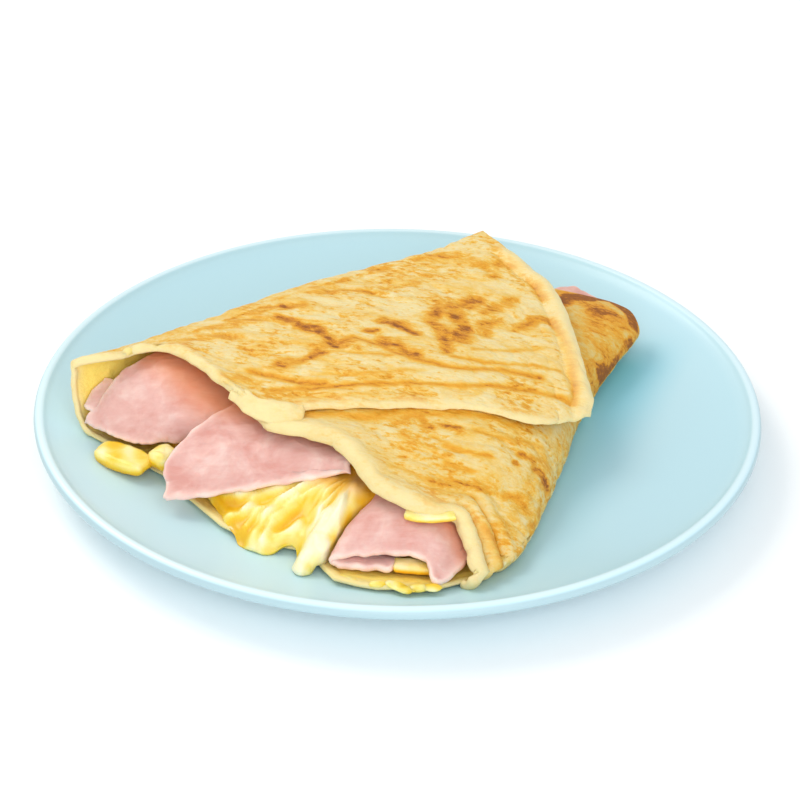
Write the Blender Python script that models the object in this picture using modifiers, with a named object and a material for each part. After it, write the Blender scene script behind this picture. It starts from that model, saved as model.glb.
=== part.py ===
"""A savory crepe folded round ham and melted cheese, on a round coupe plate.

The crepe is one thin sheet. Its right side is folded over the filling to the left, and its left side
is then folded over that to the right, so the roll is wide at its open mouth and narrow at its tail.
The plate stands on the XY plane with its centre on the Z axis. Shapes are worked out in millimetres.
"""

import math

import bmesh
import bpy
import numpy as np

MM = 0.001
COLLECTION = "savory_crepe"
GAP = 0.35  # clear space between pieces that touch

# Plate: a turned coupe with a foot ring
PLATE_RADIUS = 130.0
RIM_HEIGHT = 18.0
WELL_HEIGHT = 6.0
WELL_FLAT_RADIUS = 55.0
SLOPE_END_RADIUS = 128.0
SLOPE_RISE = 11.5
SLOPE_POWER = 3.2
WALL = 4.0
FOOT_RADIUS = 76.0
FOOT_WIDTH = 5.0
FOOT_DEPTH = 2.4
FOOT_TAPER = 1.0
LIP_RADIUS = 2.2
LIP_TURNS = (150, 100, 50, 0, -50)  # degrees round the lip, from the upper face to the outer side
UPPER_RINGS = (0, 35, 55, 70, 82, 93, 103, 112, 119, 124.5)
LOWER_RINGS = (121, 110, 97)
PLATE_STEPS = 50

# Crepe: the roll's own frame has its origin on the plate in front of the mouth. "a" runs from the
# mouth to the tail and "s" across, to the side of the first fold
ROLL_ORIGIN = (-42.0, -58.0)
ROLL_HEADING = math.radians(55.0)
CREPE_THICKNESS = 1.8
BASE_LIFT = GAP + CREPE_THICKNESS / 2
FIRST_FOLD_RADIUS = 4.0
LAP_END = -0.37  # where the covered lap stops, as a share of the half width
TAIL_LIFT = 4.5

# Half widths of the roll (a, s) out to the first fold, on the right, and to the last, on the left
FIRST_FOLD = [(-30, 95), (1, 90.5), (23, 85.5), (51, 77.5), (97, 64), (137, 55), (156, 53.5), (172, 46)]
LAST_FOLD = [(-30, 84), (-8, 83.5), (20, 72.5), (59, 61), (81, 55), (102, 47.5), (138, 31), (172, 21)]
# Height of the lap's crown (a, z)
LAP_CROWN = [(-20, 30), (4, 32), (35, 34.4), (60, 34.4), (90, 33), (140, 29.5), (156, 27.8), (176, 21)]
# Wavy edges of the sheet at the mouth and at the tail (share of the half width, a)
LAP_MOUTH = [
    (-0.5, 17), (-0.37, 14), (-0.09, 6.5), (0.24, 10.7), (0.34, 6.5), (0.47, 1.4), (0.57, 2.4), (0.68, 6.3),
    (0.76, 11), (0.81, 9), (0.89, 5), (1, -2),
]
BASE_MOUTH = [
    (-1, -11.3), (-0.9, -11), (-0.48, -14), (-0.26, -19), (0.07, -24), (0.22, -21), (0.32, -18), (0.39, -20),
    (0.49, -27.4), (0.6, -25.8), (0.73, -21.5), (0.86, -17.5), (0.94, -13), (1, -5),
]
LAP_TAIL = [(-0.6, 148), (0.1, 150.5), (0.35, 153.5), (0.52, 158), (0.79, 165), (0.93, 164.5), (1, 160.5)]
BASE_TAIL = [(-1, 166), (-0.5, 169.5), (0.2, 169), (0.7, 166), (1, 160.5)]

# Last fold's side, from the base up: step, inset as a share of the half width, share of the height,
# and where its edges at the mouth and at the tail are (a)
SIDE = [
    (0, 0.145, 0, -11.3, 166),
    (0.2, 0.085, 0.1, -10.5, 166),
    (0.45, 0.035, 0.4, -9, 165.5),
    (0.7, 0.004, 0.76, -6.5, 165),
    (0.85, 0.014, 0.94, -5, 163.5),
    (1, 0.12, 1, 4, 161),
]
SHOULDER_HEIGHT = [(-30, 34), (-6, 36.6), (5, 37.2), (140, 37.4), (161, 38.2), (172, 38.4)]

# Outline of the flap, which lies on top (a, s, z): the edge at the mouth, the free edge in front, and
# the edge at the tail, which meets the free edge at its lowest corner
FLAP_MOUTH = [(4, -70, 37.2), (9, -67, 38), (14.5, -59, 39), (14.3, -47, 39.2), (8.8, -23.5, 38)]
FLAP_FRONT = [
    (8.8, -23.5, 38), (8.1, -10, 37), (14.3, 1.3, 37), (45, 37, 37), (54, 47.5, 35), (62, 58.5, 31.2),
    (68.7, 64.6, 28.3), (88, 71.3, 24),
]
FLAP_TAIL = [
    (161, -20, 38), (156.5, -8.8, 37), (145.6, 18.8, 33.6), (134.5, 32.3, 32), (105.5, 58.5, 28),
    (95.2, 67.8, 25), (88, 71.3, 24),
]
FLAP_CLEAR = CREPE_THICKNESS + GAP + 0.25  # from the lap's middle to the flap's, with some slack

# Ham slices (a, s, z): each row runs across the slice, from deep in the roll to the edge that shows
HAM_THICKNESS = 2.2
HAM_LEFT = [
    [(66, -49, 33), (66, -38, 33), (66, -28, 31.5), (66, -20, 29)],
    [(30, -61, 33.6), (28, -48, 33), (27, -34, 27.4), (26, -16, 25)],
    [(12, -68, 34.2), (14, -57, 35.6), (13, -42, 31.5), (11, -20, 24)],
    [(1, -72, 28.5), (1, -60, 29.5), (2, -46, 27.5), (3, -26, 23)],
    [(-11.5, -75, 16.4), (-12.5, -59, 15.6), (-8.5, -47, 15.8), (0, -38.5, 17.6)],
]
HAM_MIDDLE = [
    [(60, -18, 31), (60, -6, 31.2), (60, 5, 31.2), (60, 16, 30.8), (60, 27, 29.8)],
    [(9, -28.8, 29.2), (12, -16, 28), (13, -3, 27.4), (15, 10, 27.6), (16, 25, 28)],
    [(-6, -31, 26.5), (-1, -18, 26.4), (4, -5, 26.2), (8, 8, 26.8), (12, 24.5, 27.4)],
    [(-18, -33, 19.5), (-11, -18, 20.8), (-3, -5, 22), (4, 9, 24), (10, 25, 26.4)],
    [(-30, -25, 13.6), (-20.5, -14.5, 14.8), (-10, -2.5, 16.6), (0, 12, 20.6), (9, 26, 25)],
]
HAM_RIGHT = [
    [
        (12, 54, 13), (9, 41, 16), (9, 42, 24), (12, 51, 25),
        (14, 62, 21.4), (14, 72, 16.4), (14, 78, 13.6),
    ],
    [
        (3, 56, 13), (-2, 41, 14.5), (-2, 42, 22.8), (2, 54, 23),
        (6, 65, 20.4), (4, 75, 15.4), (4, 82, 14),
    ],
    [
        (-6, 58, 13), (-14, 42, 13.4), (-11, 44, 20.6), (-5, 57, 21),
        (1, 69, 19.6), (-4, 77, 16), (-3, 83, 15),
    ],
    [
        (-14, 60, 13.4), (-23, 44, 13), (-20, 48, 16), (-11, 60, 17.2),
        (-5, 71, 17.6), (-15, 78, 17), (-10, 84, 17),
    ],
]
HAM_TAIL = [
    [(150, 9, 23), (150, 15, 23.4), (150, 21, 23.4), (150, 27, 23)],
    [(168, 12.5, 20.8), (169, 17, 22), (169, 22, 22), (168, 27, 21)],
]
HAM_LEVELS = 2

# Cheese: the melt's upper face (a, s, z), from the tail to the front edge on the sheet and the plate
CHEESE_TOP = [
    [
        (168, -13, 17), (169, -7, 22), (170, -2, 24.5), (169, 4, 24.2),
        (168, 8.5, 19), (168, 17, 18), (168, 27, 18), (167, 40, 15.5),
    ],
    [
        (146, -20, 24), (146, -12, 26), (146, -5, 24.5), (146, 3, 23),
        (146, 11, 20.4), (146, 20, 20), (146, 30, 20), (146, 44, 16),
    ],
    [
        (110, -34, 29), (110, -24, 31), (110, -12, 28.4), (110, 1, 28.6),
        (110, 14, 28.6), (110, 28, 27.5), (110, 41, 24), (110, 53, 17),
    ],
    [
        (60, -46, 27), (60, -36, 28.5), (60, -22, 25), (60, -5, 25.6),
        (60, 12, 26), (60, 30, 26.5), (62, 48, 25), (64, 63, 17),
    ],
    [
        (23, -56, 26), (23, -44, 26), (22, -30, 22), (22, -10, 22.5),
        (22, 8, 24), (24, 24, 24), (36, 46, 24), (42, 66, 15),
    ],
    [
        (4, -60, 20), (5, -45, 17.5), (4, -30, 17.5), (2, -14, 20),
        (3, -1, 20.5), (4, 11, 20), (7, 22, 22.4), (7, 31, 24.5),
    ],
    [
        (-1, -36, 13.5), (-3, -32, 14), (-8, -26, 14), (-9, -14, 14.2),
        (-10, 2, 13.4), (-10, 11, 14.6), (-6, 26, 17), (-10, 39, 18.5),
    ],
    [
        (-13, -32, 12), (-17, -29, 12.2), (-22, -22, 12.2), (-27, -8, 12.2),
        (-31.5, 9, 12.4), (-24, 20, 12), (-19, 28, 12), (-30, 43, 14.2),
    ],
]
CHEESE_CLEAR = 0.8
CHEESE_EDGE = 0.8  # the melt is nowhere thinner than this
# Smaller pieces of cheese: centre (a, s, z), turn in degrees, sizes along a, along s and in height
CHEESE_PIECES = {
    "cheese_chunk_outer": ((-16.2, -52.5, 12.9), 0, (12.5, 26.0, 3.6)),
    "cheese_chunk_inner": ((-11.0, -39.5, 13.8), 0, (9.5, 9.0, 5.0)),
    "cheese_slice": ((-7.5, 65.2, 13.9), 30, (7.0, 13.0, 2.4)),
    "cheese_strip": ((3.2, 61.5, 25.3), 30, (5.0, 15.0, 2.0)),
}
CHEESE_LEVELS = 2
LUMP_LEVELS = 2

SHEET_ACROSS = {"lap": 13, "fold": 3, "base": 9, "side": 7, "flap": 13}
SHEET_ALONG = 23


def curve(points, x):
    """Smooth interpolation through (key, value) points; flat outside them."""
    keys, values = np.array(points, float).T
    slopes = np.gradient(values, keys)
    x = np.clip(np.asarray(x, float), keys[0], keys[-1])
    i = np.clip(np.searchsorted(keys, x, side="right") - 1, 0, len(keys) - 2)
    h = keys[i + 1] - keys[i]
    t = (x - keys[i]) / h
    return (
        (2 * t**3 - 3 * t**2 + 1) * values[i] + (t**3 - 2 * t**2 + t) * h * slopes[i]
        + (3 * t**2 - 2 * t**3) * values[i + 1] + (t**3 - t**2) * h * slopes[i + 1]
    )


def path(points, t):
    """Point at the share t of the way along a smooth line through the points."""
    points = np.array(points, float)
    length = np.concatenate([[0], np.cumsum(np.linalg.norm(np.diff(points, axis=0), axis=1))])
    length /= length[-1]
    return np.stack([curve(np.stack([length, column], axis=1), t) for column in points.T], axis=-1)


def ease(x):
    """Smooth step from 0 to 1."""
    x = np.clip(x, 0, 1)
    return x * x * (3 - 2 * x)


def to_plate(a, s):
    """Position on the plate of a point given in the roll's frame."""
    c, n = math.cos(ROLL_HEADING), math.sin(ROLL_HEADING)
    return ROLL_ORIGIN[0] + a * c + s * n, ROLL_ORIGIN[1] + a * n - s * c


def plate_face(radius):
    """Height of the plate's upper face."""
    t = np.clip((radius - WELL_FLAT_RADIUS) / (SLOPE_END_RADIUS - WELL_FLAT_RADIUS), 0, 1.2)
    return WELL_HEIGHT + SLOPE_RISE * t**SLOPE_POWER


def across(s, a):
    """Share of the half width, -1 on the last fold and 1 on the first."""
    return np.where(s > 0, s / curve(FIRST_FOLD, a), s / curve(LAST_FOLD, a))


def base_height(a, s):
    """Height of the middle of the sheet that lies on the plate."""
    lift = TAIL_LIFT * ease((a - 112) / 45) * ease((across(s, a) - 0.25) / 0.7)
    return plate_face(np.hypot(*to_plate(a, s))) + BASE_LIFT + lift


def lap_height(a, s):
    """Height of the middle of the covered lap, which comes down to the first fold on the right."""
    foot = base_height(a, s) + FIRST_FOLD_RADIUS
    power = 1.3 - 0.8 * ease((a - 5) / 45)
    share = np.clip(1 - np.abs(across(s, a)) ** 3, 0, 1) ** power
    return foot + (curve(LAP_CROWN, a) - foot) * share


def sheet_points():
    """Rows of (a, s, z) from the mouth to the tail, each going once round the folded sheet."""
    v = np.linspace(0, 1, SHEET_ALONG)
    zones = []

    # Covered lap, from its free end over the filling to the right
    turn = np.linspace(math.asin(LAP_END), math.pi / 2, SHEET_ACROSS["lap"])
    share, row = np.meshgrid(np.sin(turn), v)
    a = curve(LAP_MOUTH, share) * (1 - row) + curve(LAP_TAIL, share) * row
    s = share * np.where(share > 0, curve(FIRST_FOLD, a), curve(LAST_FOLD, a))
    zones.append(np.stack([a, s, lap_height(a, s)], axis=-1))

    # First fold
    turn, row = np.meshgrid(np.linspace(0, math.pi / 2, SHEET_ACROSS["fold"] + 2)[1:-1], v)
    a = curve(BASE_MOUTH, 1) * (1 - row) + curve(BASE_TAIL, 1) * row
    s = curve(FIRST_FOLD, a) - FIRST_FOLD_RADIUS * (1 - np.cos(turn))
    z = base_height(a, s) + FIRST_FOLD_RADIUS * (1 - np.sin(turn))
    zones.append(np.stack([a, s, z], axis=-1))

    # Base on the plate, from right to left
    share, row = np.meshgrid(np.linspace(1, -1, SHEET_ACROSS["base"]), v)
    a = curve(BASE_MOUTH, share) * (1 - row) + curve(BASE_TAIL, share) * row
    right = curve(FIRST_FOLD, a) - FIRST_FOLD_RADIUS
    left = curve(LAST_FOLD, a) * (1 - SIDE[0][1])
    s = share * np.where(share > 0, right, left)
    zones.append(np.stack([a, s, base_height(a, s)], axis=-1))

    # Side of the last fold, up to the shoulder
    step, row = np.meshgrid(np.linspace(0, 1, SHEET_ACROSS["side"] + 1)[1:], v)
    inset, height, mouth, tail = (curve([(p[0], p[k]) for p in SIDE], step) for k in (1, 2, 3, 4))
    a = mouth * (1 - row) + tail * row
    s = -curve(LAST_FOLD, a) * (1 - inset)
    low = base_height(a, s)
    zones.append(np.stack([a, s, low + (curve(SHOULDER_HEIGHT, a) - low) * height], axis=-1))

    # Flap: a sheet stretched between its four edges, held clear of the lap
    shoulder = zones[-1][:, -1]
    w, row = np.meshgrid(np.linspace(0, 1, SHEET_ACROSS["flap"] + 1)[1:], v)
    mouth = path([shoulder[0]] + FLAP_MOUTH[1:], w)
    tail = path([shoulder[-1]] + FLAP_TAIL[1:], w)
    front = path(FLAP_FRONT, row)
    back = np.repeat(shoulder[:, None], w.shape[1], axis=1)
    w, row = w[..., None], row[..., None]
    corners = (1 - row) * ((1 - w) * shoulder[0] + w * FLAP_FRONT[0])
    corners = corners + row * ((1 - w) * shoulder[-1] + w * FLAP_FRONT[-1])
    flap = (1 - row) * mouth + row * tail + (1 - w) * back + w * front - corners
    inside = ease((1.02 - np.abs(across(flap[..., 1], flap[..., 0]))) / 0.04)
    rest = (lap_height(flap[..., 0], flap[..., 1]) + FLAP_CLEAR) * inside
    flap[..., 2] = np.maximum(flap[..., 2], rest)
    zones.append(flap)
    return np.concatenate(zones, axis=1)


def grid_mesh(name, points):
    """Open quad mesh through rows of (a, s, z)."""
    rows, columns = points.shape[:2]
    x, y = to_plate(points[..., 0], points[..., 1])
    vertices = np.stack([x, y, points[..., 2]], axis=-1).reshape(-1, 3) * MM
    index = np.arange(rows * columns).reshape(rows, columns)
    faces = np.stack([index[:-1, :-1], index[:-1, 1:], index[1:, 1:], index[1:, :-1]], axis=-1)
    mesh = bpy.data.meshes.new(name)
    mesh.from_pydata(vertices.tolist(), [], faces.reshape(-1, 4).tolist())
    return mesh


def add_part(name, mesh, material):
    """Smooth shaded object in the model's collection."""
    part = bpy.data.objects.new(name, mesh)
    bpy.data.collections[COLLECTION].objects.link(part)
    mesh.materials.append(material)
    mesh.shade_smooth()
    return part


def material(name, colour, roughness):
    """Principled material; the colour is sRGB hex."""
    mat = bpy.data.materials.new(name)
    mat.use_nodes = True
    shader = mat.node_tree.nodes["Principled BSDF"]
    channels = [int(colour[i : i + 2], 16) / 255 for i in (0, 2, 4)]
    linear = [c / 12.92 if c <= 0.04045 else ((c + 0.055) / 1.055) ** 2.4 for c in channels]
    shader.inputs["Base Color"].default_value = (*linear, 1)
    shader.inputs["Roughness"].default_value = roughness
    shader.inputs["Metallic"].default_value = 0
    mat.diffuse_color = (*linear, 1)
    return mat


def thicken(part, thickness):
    """Turn a surface into a sheet that reaches half its thickness to either side."""
    solid = part.modifiers.new("Solidify", "SOLIDIFY")
    solid.thickness = thickness * MM
    solid.offset = 0
    solid.use_rim = True


def soften(part, levels):
    """Smooth a cage and keep the corners of its outline."""
    subsurf = part.modifiers.new("Subdivision", "SUBSURF")
    subsurf.levels = subsurf.render_levels = levels
    subsurf.boundary_smooth = "PRESERVE_CORNERS"


def make_plate():
    """The profile runs over the upper face, round the lip, down the outer side and the foot ring."""
    upper = [(r, float(plate_face(r))) for r in UPPER_RINGS]
    centre = (PLATE_RADIUS - LIP_RADIUS, RIM_HEIGHT - LIP_RADIUS)
    turns = [math.radians(angle) for angle in LIP_TURNS]
    lip = [(centre[0] + LIP_RADIUS * math.cos(t), centre[1] + LIP_RADIUS * math.sin(t)) for t in turns]
    lower = [(r, float(plate_face(r)) - WALL) for r in LOWER_RINGS]
    outer, inner = FOOT_RADIUS + FOOT_WIDTH / 2, FOOT_RADIUS - FOOT_WIDTH / 2
    foot = [
        (outer + FOOT_TAPER, FOOT_DEPTH),
        (outer, 0),
        (inner, 0),
        (inner - FOOT_TAPER, FOOT_DEPTH),
        (0, FOOT_DEPTH),
    ]
    profile = upper + lip + lower + foot
    mesh = bpy.data.meshes.new("plate")
    vertices = [(r * MM, 0, z * MM) for r, z in profile]
    mesh.from_pydata(vertices, [(i, i + 1) for i in range(len(profile) - 1)], [])
    plate = add_part("plate", mesh, material("aqua glazed stoneware", "C4E2E8", 0.2))
    turned = plate.modifiers.new("Screw", "SCREW")
    turned.steps = turned.render_steps = PLATE_STEPS
    turned.use_merge_vertices = True
    turned.merge_threshold = 0.00001
    turned.use_smooth_shade = True


def make_crepe():
    """One folded sheet: the lap, the first fold, the base, the last fold's side and the flap."""
    crepe = add_part("crepe", grid_mesh("crepe", sheet_points()), material("crepe", "EBC77C", 0.5))
    thicken(crepe, CREPE_THICKNESS)


def make_ham():
    """Thin slices, each a coarse cage made smooth and then given its thickness."""
    ham = material("cooked ham", "F0C1B4", 0.38)
    cages = {"ham_left": HAM_LEFT, "ham_middle": HAM_MIDDLE, "ham_right": HAM_RIGHT, "ham_tail": HAM_TAIL}
    for name, cage in cages.items():
        leaf = add_part(name, grid_mesh(name, np.array(cage, float)), ham)
        soften(leaf, HAM_LEVELS)
        thicken(leaf, HAM_THICKNESS)


def make_cheese():
    """The melt fills the roll and runs out at the mouth; its underside follows the sheet and the plate."""
    cheese = material("melted cheese", "FCE68F", 0.3)
    top = np.array(CHEESE_TOP, float)
    melt = add_part("cheese_melt", grid_mesh("cheese_melt", top), cheese)
    soften(melt, CHEESE_LEVELS)
    surface = melt.evaluated_get(bpy.context.evaluated_depsgraph_get())
    mesh = bpy.data.meshes.new_from_object(surface)
    melt.modifiers.clear()
    old = melt.data
    melt.data = close_down(mesh)
    bpy.data.meshes.remove(old)
    for name, (centre, turn, size) in CHEESE_PIECES.items():
        add_lump(name, centre, math.radians(turn), size, cheese)


def close_down(mesh):
    """Close a surface with walls and an underside that keeps clear of the sheet and the plate."""
    bm = bmesh.new()
    bm.from_mesh(mesh)
    faces = bm.faces[:]
    made = bmesh.ops.extrude_face_region(bm, geom=faces)
    lower = [item for item in made["geom"] if isinstance(item, bmesh.types.BMVert)]
    for vertex in lower:
        a, s = to_roll(vertex.co.x / MM, vertex.co.y / MM)
        floor = float(base_height(a, s)) + CREPE_THICKNESS / 2 + CHEESE_CLEAR
        vertex.co.z = min(floor * MM, vertex.co.z - CHEESE_EDGE * MM)
    bmesh.ops.recalc_face_normals(bm, faces=bm.faces)
    bm.to_mesh(mesh)
    bm.free()
    mesh.shade_smooth()
    return mesh


def to_roll(x, y):
    """Place in the roll's frame of a point on the plate."""
    c, n = math.cos(ROLL_HEADING), math.sin(ROLL_HEADING)
    x, y = x - ROLL_ORIGIN[0], y - ROLL_ORIGIN[1]
    return x * c + y * n, x * n - y * c


def add_lump(name, centre, turn, size, cheese):
    """A lump of cheese: a box made soft."""
    bm = bmesh.new()
    bmesh.ops.create_cube(bm, size=1)
    for vertex in bm.verts:
        a, s, z = (offset * length for offset, length in zip(vertex.co, size))
        across_a = a * math.cos(turn) + s * math.sin(turn)
        across_s = s * math.cos(turn) - a * math.sin(turn)
        x, y = to_plate(centre[0] + across_a, centre[1] + across_s)
        vertex.co = (x * MM, y * MM, (centre[2] + z) * MM)
    bmesh.ops.recalc_face_normals(bm, faces=bm.faces)
    bmesh.ops.reverse_faces(bm, faces=bm.faces)
    mesh = bpy.data.meshes.new(name)
    bm.to_mesh(mesh)
    bm.free()
    soften(add_part(name, mesh, cheese), LUMP_LEVELS)


def main():
    """Clear the scene and build the crepe on its plate."""
    for item in list(bpy.data.objects):
        bpy.data.objects.remove(item, do_unlink=True)
    bpy.context.scene.collection.children.link(bpy.data.collections.new(COLLECTION))
    make_plate()
    make_crepe()
    make_ham()
    make_cheese()


main()
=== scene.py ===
"""Savory crepe with ham and melted cheese on its plate: the finish, piece by piece.

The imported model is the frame. Each piece here is modelled over its own solid, from the plate up.
Lengths are in millimetres and become metres where a mesh gets its points.
"""
import math

import bpy
import numpy as np
from mathutils import Matrix, Vector, noise


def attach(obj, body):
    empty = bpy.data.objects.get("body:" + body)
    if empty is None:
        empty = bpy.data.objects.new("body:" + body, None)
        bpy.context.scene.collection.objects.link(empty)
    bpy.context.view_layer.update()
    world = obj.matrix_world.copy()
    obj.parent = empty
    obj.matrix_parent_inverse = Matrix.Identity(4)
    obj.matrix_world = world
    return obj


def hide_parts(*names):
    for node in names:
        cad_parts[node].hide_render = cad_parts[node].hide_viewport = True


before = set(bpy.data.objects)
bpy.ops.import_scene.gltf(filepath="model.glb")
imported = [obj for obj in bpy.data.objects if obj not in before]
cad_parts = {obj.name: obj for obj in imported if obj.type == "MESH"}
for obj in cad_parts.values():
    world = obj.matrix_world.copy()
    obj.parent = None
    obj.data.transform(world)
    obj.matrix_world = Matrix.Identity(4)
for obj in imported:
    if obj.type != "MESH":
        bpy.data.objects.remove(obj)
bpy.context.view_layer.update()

bpy.ops.object.select_all(action="DESELECT")

# The plate: a round coupe dinner plate in stoneware, turned in one piece with its foot ring, dipped in
# a pale aqua glaze and fired. The glaze runs a little thin, and so paler, over the lip, and a painted
# highlight lies along the lip's crest.

MM = 0.001
PLATE_RADIUS, RIM_HEIGHT, LIP_RADIUS = 130.0, 18.0, 2.2
WELL_HEIGHT, WELL_FLAT_RADIUS = 6.0, 55.0
SLOPE_END_RADIUS, SLOPE_RISE, SLOPE_POWER = 128.0, 11.5, 3.2
PLATE_WALL = 4.0
FOOT_RADIUS, FOOT_HALF_WIDTH, FOOT_DEPTH = 76.0, 2.5, 2.4
PLATE_SIDES = 192


def plate_face(radius):
    """Height of the plate's upper face."""
    rise = np.clip((radius - WELL_FLAT_RADIUS) / (SLOPE_END_RADIUS - WELL_FLAT_RADIUS), 0, 1.2)
    return WELL_HEIGHT + SLOPE_RISE * rise**SLOPE_POWER


def plate_profile():
    """(radius, height) from under the centre, round the foot and the lip, to the middle of the well."""
    inner, outer = FOOT_RADIUS - FOOT_HALF_WIDTH, FOOT_RADIUS + FOOT_HALF_WIDTH
    under = [(30, FOOT_DEPTH), (inner - 1, FOOT_DEPTH), (inner - 0.4, 1.4), (inner, 0.3), (inner + 0.4, 0)]
    foot = [(outer - 0.4, 0), (outer, 0.3), (outer + 0.4, 1.4), (outer + 1, FOOT_DEPTH)]
    slope = [(r, plate_face(r) - PLATE_WALL) for r in np.linspace(84, 127.5, 18)]
    centre = (PLATE_RADIUS - LIP_RADIUS, RIM_HEIGHT - LIP_RADIUS)
    turns = np.radians(np.linspace(-40, 150, 14))
    lip = [(centre[0] + LIP_RADIUS * np.cos(t), centre[1] + LIP_RADIUS * np.sin(t)) for t in turns]
    face = [(r, plate_face(r)) for r in np.linspace(124.5, 3, 40)]
    return [(float(r), float(z)) for r, z in under + foot + slope + lip + face]


def linear(code):
    """Linear colour from sRGB hex."""
    channels = [int(code[i : i + 2], 16) / 255 for i in (0, 2, 4)]
    return [c / 12.92 if c <= 0.04045 else ((c + 0.055) / 1.055) ** 2.4 for c in channels] + [1.0]


def add_node(material, kind, options=None, sockets=None):
    """One node with its settings; a socket is given a value, or the output that it reads."""
    tree = material.node_tree
    new = tree.nodes.new(kind)
    for name, value in (options or {}).items():
        if name == "stops":
            for index, (place, code) in enumerate(value):
                stops = new.color_ramp.elements
                stop = stops[index] if index < 2 else stops.new(place)
                stop.position, stop.color = place, linear(code)
        else:
            setattr(new, name, value)
    for name, value in (sockets or {}).items():
        if isinstance(value, bpy.types.NodeSocket):
            tree.links.new(value, new.inputs[name])
        else:
            new.inputs[name].default_value = value
    return new


def stored(material, name):
    """Reads a value that the mesh keeps for each of its points."""
    return add_node(material, "ShaderNodeAttribute", {"attribute_name": name}).outputs["Fac"]


def new_material(name):
    """An empty material with its output, and object coordinates in millimetres."""
    material = bpy.data.materials.new(name)
    material.use_nodes = True
    material.node_tree.nodes.clear()
    output = add_node(material, "ShaderNodeOutputMaterial")
    place = add_node(material, "ShaderNodeTexCoord")
    sockets = {"Vector": place.outputs["Object"], "Scale": (1 / MM, 1 / MM, 1 / MM)}
    mapped = add_node(material, "ShaderNodeMapping", sockets=sockets)
    return material, output, mapped.outputs["Vector"]


def maths(material, operation, *values, clamp=False):
    """Result of one sum on numbers or outputs."""
    options = {"operation": operation, "use_clamp": clamp}
    return add_node(material, "ShaderNodeMath", options, dict(enumerate(values))).outputs[0]


def way_along(material, place, direction):
    """How far each place lies along a direction."""
    options = {"operation": "DOT_PRODUCT"}
    return add_node(material, "ShaderNodeVectorMath", options, {0: place, 1: direction}).outputs["Value"]


def ranged(material, value, start, end, low=0.0, high=1.0, smooth=False):
    """The value brought from start and end to low and high, and held there."""
    options = {"interpolation_type": "SMOOTHSTEP" if smooth else "LINEAR"}
    sockets = {"Value": value, "From Min": start, "From Max": end, "To Min": low, "To Max": high}
    return add_node(material, "ShaderNodeMapRange", options, sockets).outputs["Result"]


def clouds(material, place, size, detail=2.0, roughness=0.5, distortion=0.0):
    """Noise with features of about that many millimetres."""
    sockets = {"Vector": place, "Scale": 1 / size, "Detail": detail, "Roughness": roughness}
    sockets["Distortion"] = distortion
    return add_node(material, "ShaderNodeTexNoise", sockets=sockets).outputs["Fac"]


def ramp(material, value, stops):
    """Colour read off a row of (place, hex) stops."""
    return add_node(material, "ShaderNodeValToRGB", {"stops": stops}, {"Fac": value}).outputs["Color"]


def blend(material, share, colour, code):
    """The colour with its share of another laid over it."""
    sockets = {"Factor": share, 6: colour, 7: linear(code)}
    return add_node(material, "ShaderNodeMix", {"data_type": "RGBA"}, sockets).outputs[2]


def bump(material, height, strength, depth):
    """Normals of fine relief, depth in millimetres."""
    sockets = {"Height": height, "Strength": strength, "Distance": depth * MM}
    return add_node(material, "ShaderNodeBump", sockets=sockets).outputs["Normal"]


def give_surface(material, output, sockets):
    """Finish the material with its one shader."""
    shader = add_node(material, "ShaderNodeBsdfPrincipled", sockets=sockets)
    material.node_tree.links.new(shader.outputs["BSDF"], output.inputs["Surface"])


def finish_piece(piece, slot, *nodes):
    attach(piece, "root")
    if nodes:
        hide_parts(*nodes)


def face_outward():
    """Turn the faces of the piece just made outward, and shade it smooth."""
    bpy.ops.object.mode_set(mode="EDIT")
    bpy.ops.mesh.select_all(action="SELECT")
    bpy.ops.mesh.normals_make_consistent(inside=False)
    bpy.ops.object.mode_set(mode="OBJECT")
    bpy.ops.object.shade_smooth()


profile = plate_profile()
bpy.ops.mesh.primitive_circle_add(
    vertices=PLATE_SIDES, radius=profile[0][0] * MM, fill_type="TRIFAN", location=(0, 0, profile[0][1] * MM)
)
plate = bpy.context.object
plate.name = plate.data.name = "glazed_plate"
bpy.ops.object.transform_apply(location=True, rotation=True, scale=True)
bpy.ops.object.mode_set(mode="EDIT")
for (before, low), (radius, high) in zip(profile, profile[1:]):
    bpy.ops.mesh.extrude_region_move(TRANSFORM_OT_translate={"value": (0, 0, (high - low) * MM)})
    step = radius / before
    bpy.ops.transform.resize(value=(step, step, 1), center_override=(0, 0, high * MM))
face_outward()

# Glazed stoneware: a glassy coat over a coloured body. The glaze is thinner on the lip, which shows
# paler, and a painted highlight runs along the lip's crest; its face is not quite even. Painted shade
# lies as a deeper teal along the crepe's right side and darkens the outer wall under the lip, and
# painted light brightens the front left.
ALONG_CREPE_SIDE, OUT_FROM_SIDE, TO_FRONT_LEFT = (0.364, 0.931, 0), (0.931, -0.364, 0), (-0.6, -0.8, 0)
PAINTED_SHADE_OUT, PAINTED_SHADE_HALF_WIDTH = 67.0, 26.0  # the painted shade band's middle, out from the plate's, and its reach
glaze, output, place = new_material("glazed_stoneware")
flat = add_node(glaze, "ShaderNodeVectorMath", {"operation": "MULTIPLY"}, {0: place, 1: (1, 1, 0)})
radius = add_node(glaze, "ShaderNodeVectorMath", {"operation": "LENGTH"}, {0: flat.outputs[0]})
radius = radius.outputs["Value"]
spread = maths(glaze, "MULTIPLY_ADD", clouds(glaze, place, 70), 6.0, radius)
tint = ramp(glaze, ranged(glaze, spread, 100.0, 134.0), [
    (0.0, "B5D9E4"), (0.74, "B7DBE6"), (0.88, "BDDFE9"), (1.0, "C2E2EB")])
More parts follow.
